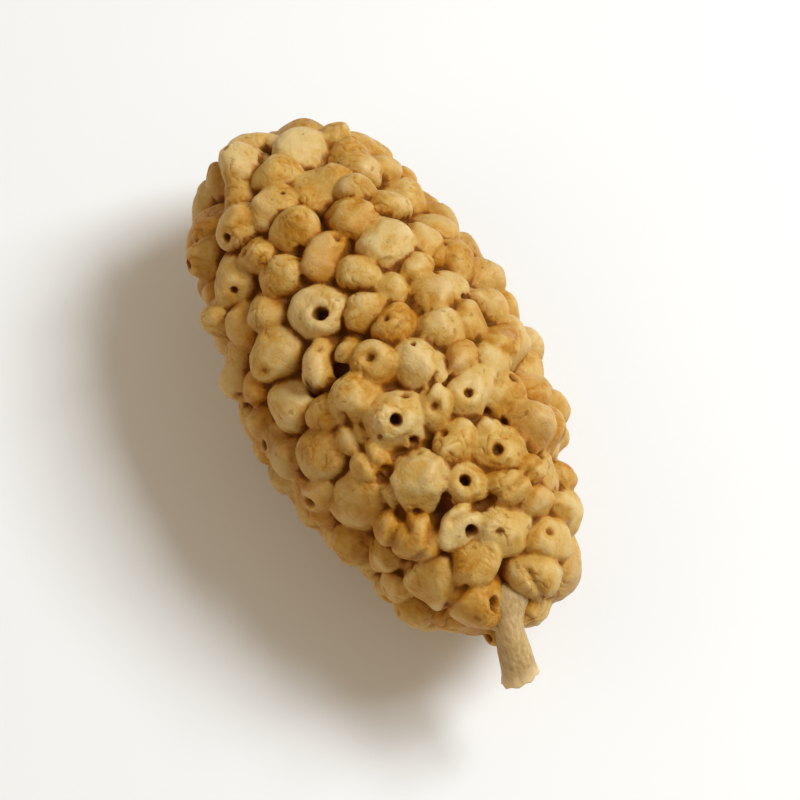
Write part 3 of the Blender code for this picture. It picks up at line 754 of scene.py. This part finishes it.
def easeCreases(surface, fused):  # rounds the creases a little, and more where the fruit is fused
    ease = np.zeros(len(surface.places))
    for spot, radius in fused:
        eased = 1 - smoothstep(dressing["fusedCore"] * radius, radius, surface.distances(spot))
        ease = np.maximum(ease, eased)
    for step in range(dressing["easingSteps"]):
        if step % dressing["easingRound"] == 0:
            surface.findAgain()
            crease = surface.blurred(smoothstep(0.0, dressing["crease"], surface.hollowness(1)), 1)
            strength = dressing["easingRate"] * crease * (1.0 if step == 0 else ease)
        surface.places += strength[:, None] * (surface.spread(surface.places) - surface.places)
    surface.findAgain()


def nearTo(tree, spot, reach):  # the points within a reach in mm, and how far off in mm each is
    near = tree.find_range(spot, reach / 1000)
    return np.array([n for _, n, _ in near], dtype=int), np.array([d for _, _, d in near]) * 1000


def pressPits(surface, tree, flow, pits, shift, paintedHoleShade):
    for spot, hole, depth, rim, height, shadeAmount in pits:
        index, distance = nearTo(tree, spot, dressing["pitSearch"] * rim)
        if len(index) == 0:
            continue
        way = flow[index[np.argmin(distance)]]
        across = surface.places[index] - np.array(spot)
        flat = np.linalg.norm(across - (across @ way)[:, None] * way, axis=1) * 1000
        seed = int(1e6 * abs(spot[0])) % dressing["wobbleSeeds"]  # each pit's own, from where it is
        flat = flat * (1 + dressing["pitWobble"] * waves(across, dressing["wobbleLength"], seed))
        low, high = dressing["pitWall"]
        inside = 1 - smoothstep(low * hole, high * hole, flat)
        shift[index] -= (inside * depth / 1000)[:, None] * way
        crest = height * np.exp(-(((flat - rim) / (dressing["rimWidth"] * rim)) ** 2))
        shift[index] += (crest / 1000)[:, None] * flow[index]
        low, high = dressing["pitDark"]
        # painted shade inside the pit's hole
        paintedHoleShade[index] = np.maximum(paintedHoleShade[index], shadeAmount * (1 - smoothstep(low * hole, high * hole, flat)))


def lineShares(tree, points, width):  # the points near a line, and how much each is in it
    nearest = {}
    for point in points:
        for _, n, d in tree.find_range(point, dressing["lineSearch"] * width / 1000):
            nearest[n] = min(nearest.get(n, math.inf), d)
    distance = np.array(list(nearest.values())) * 1000
    return np.array(list(nearest), dtype=int), np.exp(-((distance / width) ** 2))


def pressMarks(surface, tree, found):
    flow = surface.smoothNormals(dressing["flowRounds"])
    shift = np.zeros_like(surface.places)
    paintedHoleShade, sunk = np.zeros(len(surface.places)), np.zeros(len(surface.places))
    pressPits(surface, tree, flow, found["pits"], shift, paintedHoleShade)
    for points, width, depth in found["slits"]:
        index, share = lineShares(tree, points, width)
        sunk[index] = np.maximum(sunk[index], depth * share)
        # painted shade along the slit
        paintedHoleShade[index] = np.maximum(paintedHoleShade[index], dressing["slitDark"] * share)
    for points, width, height in found["ridges"]:
        index, share = lineShares(tree, points, width)
        shift[index] += (height * share / 1000)[:, None] * flow[index]
    for spot, radius, depth in found["gaps"]:
        index, distance = nearTo(tree, spot, dressing["gapSearch"] * radius)
        inside = 1 - smoothstep(0.0, dressing["gapWall"] * radius, distance)
        sunk[index] = np.maximum(sunk[index], depth * inside)
        low, high = dressing["gapShade"]
        # painted shade in the gap
        shadeAmount = dressing["gapDark"] * (1 - smoothstep(low * radius, high * radius, distance))
        paintedHoleShade[index] = np.maximum(paintedHoleShade[index], shadeAmount)
    shift -= (sunk / 1000)[:, None] * flow
    surface.places += shift
    surface.findAgain()
    return paintedHoleShade


def wrinkle(surface, smooth):  # folds the skin finely, and returns where the folds are
    places = surface.places
    size, length, seed = wrinkles["bend"]
    bent = places + size * np.stack([waves(places, length, seed + k) for k in range(3)], axis=1)
    creases = []
    for form in (wrinkles["broad"], wrinkles["fine"]):
        creases.append(np.exp(-((waves(bent, form["length"], form["seed"]) / form["narrow"]) ** 2)))
    left, least = np.ones(len(places)), wrinkles["smoothLeft"]
    for spot, radius in smooth:
        off = smoothstep(wrinkles["smoothCore"] * radius, radius, surface.distances(spot))
        left = np.minimum(left, least + (1 - least) * off)
    patches = []
    for low, length, seed in (wrinkles["broadPatches"], wrinkles["finePatches"]):
        patches.append(left * smoothstep(low, 1.0, waves(places, length, seed)))
    (broad, fine), (where, elsewhere) = creases, patches
    size, length, seed = wrinkles["swell"]
    amount = size * waves(places, length, seed)
    amount -= wrinkles["broad"]["depth"] * broad * where + wrinkles["fine"]["depth"] * fine * elsewhere
    lift = smoothstep(0.0, wrinkles["resting"], places[:, 2])
    surface.places += (amount * lift)[:, None] * surface.smoothNormals(2)
    surface.places[:, 2] = np.maximum(surface.places[:, 2], 0)
    surface.findAgain()
    return np.maximum(broad * where, wrinkles["fineShade"] * fine * elsewhere)


def dress(grown):
    found = findMarks(treeOf(grown.data))
    surface = Surface(grown.data)
    tree = surface.searchTree()
    easeCreases(surface, found["fused"])
    paintedHoleShade = pressMarks(surface, tree, found)
    # the folds' mask is used for painted shade in the wrinkle grooves
    foldShade = wrinkle(surface, found["smooth"])
    # the pit attribute holds the painted shade of pits, slits and gaps
    setAttribute(grown.data, "pit", surface.blurred(paintedHoleShade, 1))
    setAttribute(grown.data, "foldShade", foldShade)


dress(grown)
print("skin dressed with pits, slits, gaps, ridges and wrinkles")
thin = grown.modifiers.new("thin", "DECIMATE")
grown.data.calc_loop_triangles()
thin.ratio = grid["faces"] / len(grown.data.loop_triangles)
applyModifiers(grown)
print("skin thinned to", len(grown.data.polygons), "faces")

# what the skin's colours follow, among them painted shade in its creases: rounds of smoothing, and the
# values between which each sets in
shade = {
    "seed": 21,
    "rays": 14,
    "reach": 0.0016,
    "lean": 0.98,
    "lift": 0.00002,
    "near": (3, 1),
    "wide": (14, 2),
    "hiddenRounds": 2,
    "scale": 1e5,
    "wideShare": 0.010,
    "wideLimits": (-10, 15),
    "nearShare": 0.060,
    "nearLimits": (-1.5, 7),
    "creaseBrownAndShade": (0.08, 0.70),
    "crest": (3.0, 15.0),
}


# how shut in each point is sets the painted shade in the creases
def hiddenShare(surface):  # how much of what is near shuts each point in
    tree = treeOf(surface.mesh)
    rng = np.random.default_rng(shade["seed"])
    starts = surface.places + shade["lift"] * surface.normals
    hits = np.zeros(len(starts))
    for _ in range(shade["rays"]):
        ways = unit(surface.normals + shade["lean"] * unit(rng.normal(size=starts.shape)))
        for n in range(len(starts)):
            distance = tree.ray_cast(Vector(starts[n]), Vector(ways[n]), shade["reach"])[3]
            if distance is not None:
                hits[n] += 1 - distance / shade["reach"]
    return hits / shade["rays"]


def storeShades(grown):
    surface = Surface(grown.data)
    near, wide = [surface.blurred(surface.hollowness(times), blurs) * shade["scale"]
                  for times, blurs in (shade["near"], shade["wide"])]
    hidden = surface.blurred(hiddenShare(surface), shade["hiddenRounds"])
    depth = hidden + shade["wideShare"] * np.clip(wide, *shade["wideLimits"])
    depth = depth + shade["nearShare"] * np.clip(near, *shade["nearLimits"])
    # the creases' darkening: partly the skin's own browning, partly painted shade from how shut in each
    # point is
    setAttribute(grown.data, "creaseBrownAndShade", smoothstep(*shade["creaseBrownAndShade"], depth))
    # crests made paler: partly the taut skin's own paleness, partly painted highlight
    setAttribute(grown.data, "crest", smoothstep(*shade["crest"], -wide))


storeShades(grown)
print("what the skin's colours follow is stored")
grown.data.shade_smooth()
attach(grown, "root")
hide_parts("drupelets")

# the stalk's surface: wavelengths in shares of its radius, each with its seed, and shares of its length
stalkSkin = {
    "twist": 0.9,
    "grain": (1.3, 0.55),  # how far the grain's waves run round it and along it
    "fibres": (0.80, 81),
    "fineFibres": (0.35, 82),
    "fineShare": 0.5,
    "fibreDepth": 0.8,
    "knobs": (1.1, 83),
    "knobStretch": (0.5, 0.5, 4.0),
    "rootAt": (0.30, 0.14),  # where it widens into the fruit, and over how much
    "tip": (0.90, 1.0),
    "slant": (0.80, 1.0),
    "frayWaves": (1.9, 84),
    "frayScale": 3,
    "pithDepth": 0.00022,
    "pithPower": 0.7,
    "pithRough": 0.00003,
    "pithWaves": (1.2, 85),
    "pithScale": 5,
    "cut": (0.88, 0.99),  # where its colour turns to the cut end's
}


def growStalk():  # a dry fibrous rod that widens into the fruit at its root, with a rough slanting cut
    sides, rings = stalk["sides"], stalk["rings"]
    shares = np.linspace(0, 1, rings)
    centres = np.array([stalkPoint(t) for t in shares]) + fruit["middle"]
    tangents = unit(np.gradient(centres, axis=0))
    across = unit(np.cross(tangents, np.array([0, 0, 1.0])))
    over = np.cross(tangents, across)
    turns = 2 * math.pi * np.arange(sides) / sides
    rod = np.stack([np.cos(turns), np.sin(turns), np.zeros(sides)], axis=1)
    points = []
    for n, share in enumerate(shares):
        turned = turns + stalkSkin["twist"] * share
        roundIt, alongIt = stalkSkin["grain"]
        grain = [roundIt * np.cos(turned), roundIt * np.sin(turned), np.full(sides, alongIt * share)]
        grain = np.stack(grain, axis=1)
        fibres = waves(grain, *stalkSkin["fibres"])
        fibres = fibres + stalkSkin["fineShare"] * waves(grain, *stalkSkin["fineFibres"])
        knobs = waves(grain * np.array(stalkSkin["knobStretch"]), *stalkSkin["knobs"])
        radius = stalk["diameter"] / 2 * (1 + stalk["flare"] * (2 * share - 1) ** 2)
        rootPlace, rootWidth = stalkSkin["rootAt"]
        radius += stalk["root"] * math.exp(-(((share - rootPlace) / rootWidth) ** 2))
        radius *= 1 + stalk["tipSpread"] * smoothstep(*stalkSkin["tip"], share)
        around = radius + stalk["fibre"] * fibres * stalkSkin["fibreDepth"] + stalk["knobs"] * knobs
        lean = stalk["cutAngle"] * rod[:, 0] * radius
        lean = lean + stalk["frayed"] * waves(stalkSkin["frayScale"] * rod, *stalkSkin["frayWaves"])
        forward = smoothstep(*stalkSkin["slant"], share) * lean
        sideways, upwards = (around * rod[:, 0])[:, None], (around * rod[:, 1])[:, None]
        ring = centres[n] + sideways * across[n] + upwards * over[n]
        points.append(ring + forward[:, None] * tangents[n])
    last = points[-1]
    for k in range(1, stalk["endRings"]):  # the cut end, a little hollow in the middle
        share = 1 - k / stalk["endRings"]
        ring = last.mean(axis=0) + (last - last.mean(axis=0)) * share
        rough = waves(stalkSkin["pithScale"] * share * rod, *stalkSkin["pithWaves"])
        pith = -stalkSkin["pithDepth"] * (1 - share) ** stalkSkin["pithPower"]
        pith = pith + stalkSkin["pithRough"] * rough
        points.append(ring + pith[:, None] * tangents[-1])
    tip = points[-1].mean(axis=0)
    points = np.vstack([centres[:1], *points, [tip]])
    made = newObject("dryStalk", points, gridFaces(rings + stalk["endRings"] - 1, sides))
    bm = bmesh.new()
    bm.from_mesh(made.data)
    bmesh.ops.recalc_face_normals(bm, faces=bm.faces[:])
    bm.to_mesh(made.data)
    bm.free()
    ends = np.ones((stalk["endRings"] - 1) * sides + 1)
    cut = np.repeat(smoothstep(*stalkSkin["cut"], shares), sides)
    setAttribute(made.data, "cut", np.concatenate([[0], cut, ends]))
    made.data.shade_smooth()
    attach(made, "root")
    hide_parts("stalk")
    return made


dryStalk = growStalk()
print("stalk grown:", len(dryStalk.data.polygons), "faces")


class Nodes:  # a material's node tree, built line by line
    def __init__(self, name):
        self.material = bpy.data.materials.new(name)
        self.material.use_nodes = True
        self.tree = self.material.node_tree
        self.shader = self.tree.nodes["Principled BSDF"]

    def add(self, kind, inputs=(), **settings):
        node = self.tree.nodes.new(kind)
        for key, value in settings.items():
            setattr(node, key, value)
        for key, value in dict(inputs).items():
            self.put(node.inputs[key], value)
        return node

    def put(self, socket, value):
        if isinstance(value, bpy.types.NodeSocket):
            self.tree.links.new(value, socket)
        elif isinstance(value, tuple) and len(value) == 3 and socket.type == "RGBA":
            socket.default_value = (*value, 1)
        else:
            socket.default_value = value

    def place(self, scale=1000.0, stretch=(1, 1, 1)):
        coordinates = self.add("ShaderNodeTexCoord")
        ways = tuple(scale * way for way in stretch)
        inputs = {"Vector": coordinates.outputs["Object"], "Scale": ways}
        return self.add("ShaderNodeMapping", inputs).outputs[0]

    def noise(self, place, scale, detail=3.0, roughness=0.55, distortion=0.0):
        settings = {"Vector": place, "Scale": scale, "Detail": detail, "Roughness": roughness,
                    "Distortion": distortion}
        return self.add("ShaderNodeTexNoise", settings).outputs["Fac"]

    def attribute(self, name):
        return self.add("ShaderNodeAttribute", attribute_name=name).outputs["Fac"]

    def math(self, operation, *values, clamp=False):
        node = self.add("ShaderNodeMath", operation=operation, use_clamp=clamp)
        for n, value in enumerate(values):
            self.put(node.inputs[n], value)
        return node.outputs[0]

    def fromTo(self, value, low, high, newLow=0.0, newHigh=1.0):
        settings = {"Value": value, "From Min": low, "From Max": high, "To Min": newLow, "To Max": newHigh}
        return self.add("ShaderNodeMapRange", settings, interpolation_type="SMOOTHSTEP").outputs[0]

    def mix(self, share, first, second):
        node = self.add("ShaderNodeMix", data_type="RGBA")
        for n, value in ((0, share), (6, first), (7, second)):  # 6 and 7 are the colour sockets
            self.put(node.inputs[n], value)
        return node.outputs[2]

    def ramp(self, value, stops):
        node = self.add("ShaderNodeValToRGB", {"Fac": value})
        elements = node.color_ramp.elements
        while len(elements) < len(stops):
            elements.new(0.5)
        for element, (where, colour) in zip(elements, stops):
            element.position = where
            element.color = (*colour, 1)
        return node.outputs[0]

    def bump(self, height, distance, strength=1.0):
        inputs = {"Height": height, "Distance": distance, "Strength": strength}
        return self.add("ShaderNodeBump", inputs).outputs[0]


# dried skin: linear colours by how pale a bead is, and what its creases and pits darken to; the creases'
# darkening is partly the skin's own browning and partly painted shade, the pits' is painted shade
skinLook = {
    "tones": (
        (0.00, (0.180, 0.050, 0.002)), (0.30, (0.310, 0.108, 0.004)), (0.52, (0.455, 0.205, 0.020)),
        (0.74, (0.558, 0.335, 0.084)), (1.00, (0.630, 0.455, 0.195)),
    ),
    "orange": (0.410, 0.132, 0.007),
    "grey": (0.330, 0.180, 0.062),
    # crease colours: partly the skin's own browning, partly painted shade
    "flank": (0.385, 0.124, 0.004),
    "creaseBrownAndShade": (0.188, 0.053, 0.001),
    "deep": (0.098, 0.023, 0.001),
    # painted shade at the bottom of the holes
    "pit": (0.055, 0.017, 0.004),
    # noises: scale for each mm, detail, roughness and distortion
    "blotches": (0.28, 2.0),
    "mottle": (0.95, 3.0, 0.6, 0.4),
    "speckle": (4.2, 4.0, 0.6),
    "freckles": (2.4, 2.0, 0.5),
    "ripple": (1.9, 3.0, 0.55, 1.2),
    "grain": (6.5, 4.0, 0.62),
    "cells": 2.6,
    "cellWall": 0.16,
    "noiseRange": (0.3, 0.7),
    # how far the noises, the painted shade in a fold, and a crest's paler tone, partly the taut skin's own
    # and partly painted highlight, change how pale it is
    "blotchShift": (-0.06, 0.10),
    "mottleShift": (-0.08, 0.12),
    "speckleShift": (-0.05, 0.05),
    "foldShift": 0.12,
    "crestShift": 0.26,
    # how much warmth gives the whole of the orange or the grey, and how much of each shows
    "orangeAt": 1.2,
    "orangeShows": (0.25, 0.7, 0.10, 0.42),
    "greyAt": -1.1,
    "greyShows": 0.40,
    # darker colours over it, painted shade in creases and pits and partly the skin's own browning in
    # creases: from which depth to which they set in, and how much they cover
    "edgeShift": (-0.10, 0.10),
    "creases": (("flank", 0.08, 0.50, 0.72), ("creaseBrownAndShade", 0.38, 0.80, 0.90), ("deep", 0.80, 1.0, 0.60)),
    "pits": (("creaseBrownAndShade", 0.05, 0.55, 0.85), ("pit", 0.45, 0.95, 0.92)),
    "frecklesShow": (0.66, 0.74, 0, 0.45),
    "roughness": (0.40, 0.56),
    "edgeRoughness": 0.25,
    "specularTint": (1.0, 0.72, 0.38, 1),
    "specular": 0.26,
    "subsurface": 0.30,
    "subsurfaceRadius": (1.0, 0.42, 0.16),
    "subsurfaceScale": 0.0007,
    "coat": 0.05,
    "coatRoughness": 0.28,
    # the finest relief: how much of each noise, and how deep in metres and how strong all of it is
    "relief": (1.6, 0.35, 0.45),
    "reliefDepth": (0.00003, 0.7),
}


def drySkin():
    n = Nodes("dried skin")
    place = n.place()
    between = skinLook["noiseRange"]
    blotches = n.noise(place, *skinLook["blotches"])
    mottle = n.noise(place, *skinLook["mottle"])
    speckle = n.noise(place, *skinLook["speckle"])
    varied = n.attribute("tone")
    for noise, shift in ((blotches, "blotchShift"), (mottle, "mottleShift"), (speckle, "speckleShift")):
        varied = n.math("ADD", varied, n.fromTo(noise, *between, *skinLook[shift]))
    # painted shade: darker along the wrinkles' folds
    varied = n.math("SUBTRACT", varied, n.math("MULTIPLY", n.attribute("foldShade"), skinLook["foldShift"]))
    # crests paler: partly the taut skin's own paleness, partly painted highlight
    proud = n.math("MULTIPLY", n.attribute("crest"), skinLook["crestShift"])
    varied = n.math("ADD", varied, proud, clamp=True)
    colour = n.ramp(varied, skinLook["tones"])
    warmth = n.attribute("warmth")
    orange = n.fromTo(mottle, *skinLook["orangeShows"])
    orange = n.math("MULTIPLY", n.fromTo(warmth, 0.0, skinLook["orangeAt"]), orange)
    colour = n.mix(orange, colour, skinLook["orange"])
    grey = n.math("MULTIPLY", n.fromTo(warmth, 0.0, skinLook["greyAt"]), skinLook["greyShows"])
    colour = n.mix(grey, colour, skinLook["grey"])
    uneven = n.fromTo(mottle, *between, *skinLook["edgeShift"])
    # painted shade and browning in the creases, by how shut in each point is
    browningAndShade = n.math("ADD", n.attribute("creaseBrownAndShade"), uneven, clamp=True)
    # painted shade laid over the colour in pits, slits and gaps
    for follows, layers in ((browningAndShade, "creases"), (n.attribute("pit"), "pits")):
        for shadeName, low, high, most in skinLook[layers]:
            colour = n.mix(n.fromTo(follows, low, high, 0, most), colour, skinLook[shadeName])
    freckles = n.fromTo(n.noise(place, *skinLook["freckles"]), *skinLook["frecklesShow"])
    colour = n.mix(freckles, colour, skinLook["creaseBrownAndShade"])
    n.put(n.shader.inputs["Base Color"], colour)
    rougher = n.math("MULTIPLY", browningAndShade, skinLook["edgeRoughness"])
    roughness = n.math("ADD", n.fromTo(mottle, *between, *skinLook["roughness"]), rougher, clamp=True)
    n.put(n.shader.inputs["Roughness"], roughness)
    n.shader.inputs["Specular Tint"].default_value = skinLook["specularTint"]
    n.shader.inputs["Specular IOR Level"].default_value = skinLook["specular"]
    n.shader.inputs["Subsurface Weight"].default_value = skinLook["subsurface"]
    n.shader.inputs["Subsurface Radius"].default_value = skinLook["subsurfaceRadius"]
    n.shader.inputs["Subsurface Scale"].default_value = skinLook["subsurfaceScale"]
    n.shader.inputs["Coat Weight"].default_value = skinLook["coat"]
    n.shader.inputs["Coat Roughness"].default_value = skinLook["coatRoughness"]
    cells = n.add("ShaderNodeTexVoronoi", {"Vector": place, "Scale": skinLook["cells"]},
                  feature="DISTANCE_TO_EDGE").outputs["Distance"]
    waviness = n.noise(place, *skinLook["ripple"])
    folds = n.fromTo(cells, 0.0, skinLook["cellWall"])
    grain = n.noise(place, *skinLook["grain"])
    reliefs = zip((waviness, folds, grain), skinLook["relief"])
    parts = [n.math("MULTIPLY", noise, share) for noise, share in reliefs]
    height = n.math("ADD", n.math("ADD", parts[0], parts[1]), parts[2])
    n.put(n.shader.inputs["Normal"], n.bump(height, *skinLook["reliefDepth"]))
    return n.material


# dry straw of the stalk: colours along its fibres, its stains, and the fresher wood of its cut
strawLook = {
    "tones": ((0.25, (0.34, 0.19, 0.06)), (0.5, (0.48, 0.31, 0.115)), (0.75, (0.62, 0.44, 0.20))),
    "fibres": (2.2, 4.0, 0.6),
    "stretch": (0.5, 3.0, 3.0),
    "blotches": (0.6, 2.0),
    "stain": (0.30, 0.14, 0.03),
    "stainShows": (0.50, 0.70, 0, 0.5),
    "wood": (0.78, 0.60, 0.33),
    "woodShows": 0.65,
    "roughness": (0.5, 0.7),
    "subsurface": 0.2,
    "subsurfaceRadius": (1.0, 0.5, 0.2),
    "subsurfaceScale": 0.0006,
    "reliefDepth": (0.00003, 0.6),
}


def straw():
    n = Nodes("straw")
    fibres = n.noise(n.place(1000, strawLook["stretch"]), *strawLook["fibres"])
    blotches = n.noise(n.place(), *strawLook["blotches"])
    colour = n.ramp(fibres, strawLook["tones"])
    colour = n.mix(n.fromTo(blotches, *strawLook["stainShows"]), colour, strawLook["stain"])
    cut = n.math("MULTIPLY", n.attribute("cut"), strawLook["woodShows"])
    colour = n.mix(cut, colour, strawLook["wood"])
    n.put(n.shader.inputs["Base Color"], colour)
    n.put(n.shader.inputs["Roughness"], n.fromTo(fibres, 0.3, 0.7, *strawLook["roughness"]))
    n.shader.inputs["Subsurface Weight"].default_value = strawLook["subsurface"]
    n.shader.inputs["Subsurface Radius"].default_value = strawLook["subsurfaceRadius"]
    n.shader.inputs["Subsurface Scale"].default_value = strawLook["subsurfaceScale"]
    n.put(n.shader.inputs["Normal"], n.bump(fibres, *strawLook["reliefDepth"]))
    return n.material


tableLook = {"pale": ((0.86, 0.86, 0.855), (0.90, 0.90, 0.895)), "clouds": 60, "roughness": (0.55, 0.65)}


def paleTable():
    n = Nodes("pale table")
    cloud = n.noise(n.place(tableLook["clouds"]), 1.0, 2.0)
    n.put(n.shader.inputs["Base Color"], n.mix(cloud, *tableLook["pale"]))
    n.put(n.shader.inputs["Roughness"], n.fromTo(cloud, 0.3, 0.7, *tableLook["roughness"]))
    return n.material


for piece, made in ((grown, drySkin()), (dryStalk, straw())):
    piece.data.materials.clear()
    piece.data.materials.append(made)
print("skin and stalk coloured")

# plain pale floor, soft light, and a camera at the photograph's angle
view = {
    "lens": 300,
    "sensor": 36,
    "frameHeight": 0.033,
    "aim": (0.0, 0.0, 0.0055),
    "nearest": 0.01,
    "floor": 1.2,
    "surroundings": (1.0, 0.88, 0.70, 1),
    "surroundingsStrength": 0.36,
}

# each lamp's direction from the fruit: to the right, up and towards the camera; metres and watts
lamps = {
    "key": {"way": (0.74, 0.60, 0.80), "distance": 0.30, "size": 0.12, "power": 0.89,
            "colour": (0.93, 1.0, 1.07)},
    "fill": {"way": (-0.9, 0.1, 0.8), "distance": 0.35, "size": 0.25, "power": 0.13,
             "colour": (1.0, 0.78, 0.52)},
}

bpy.ops.mesh.primitive_plane_add(size=view["floor"], location=(0, 0, 0))
floor = bpy.context.object
floor.name = "floor"
floor.data.materials.append(paleTable())

azimuth, elevation = math.radians(fruit["azimuth"]), math.radians(fruit["elevation"])
flat = math.cos(elevation)
back = Vector((math.sin(azimuth) * flat, -math.cos(azimuth) * flat, math.sin(elevation)))
camera = bpy.data.objects.new("camera", bpy.data.cameras.new("camera"))
bpy.context.scene.collection.objects.link(camera)
camera.data.lens = view["lens"]
camera.data.clip_start = view["nearest"]
distance = view["frameHeight"] * view["lens"] / view["sensor"]
camera.location = Vector(view["aim"]) + back * distance
camera.rotation_euler = (-back).to_track_quat("-Z", "Y").to_euler()
bpy.context.scene.camera = camera
right = Vector((math.cos(azimuth), math.sin(azimuth), 0))
up = back.cross(right)


def lamp(name, way, distance, size, power, colour):
    data = bpy.data.lights.new(name, "AREA")
    data.size = size
    data.energy = power
    data.color = colour
    made = bpy.data.objects.new(name, data)
    bpy.context.scene.collection.objects.link(made)
    side, above, towards = way
    direction = (side * right + above * up + towards * back).normalized()
    made.location = Vector(view["aim"]) + direction * distance
    made.rotation_euler = direction.to_track_quat("Z", "Y").to_euler()


for name, settings in lamps.items():
    lamp(name, **settings)
world = bpy.data.worlds.new("world")
world.use_nodes = True
background = world.node_tree.nodes["Background"]
background.inputs["Color"].default_value = view["surroundings"]
background.inputs["Strength"].default_value = view["surroundingsStrength"]
bpy.context.scene.world = world
bpy.context.scene.view_settings.view_transform = "Standard"
print("floor, camera and", len(lamps), "lamps set")
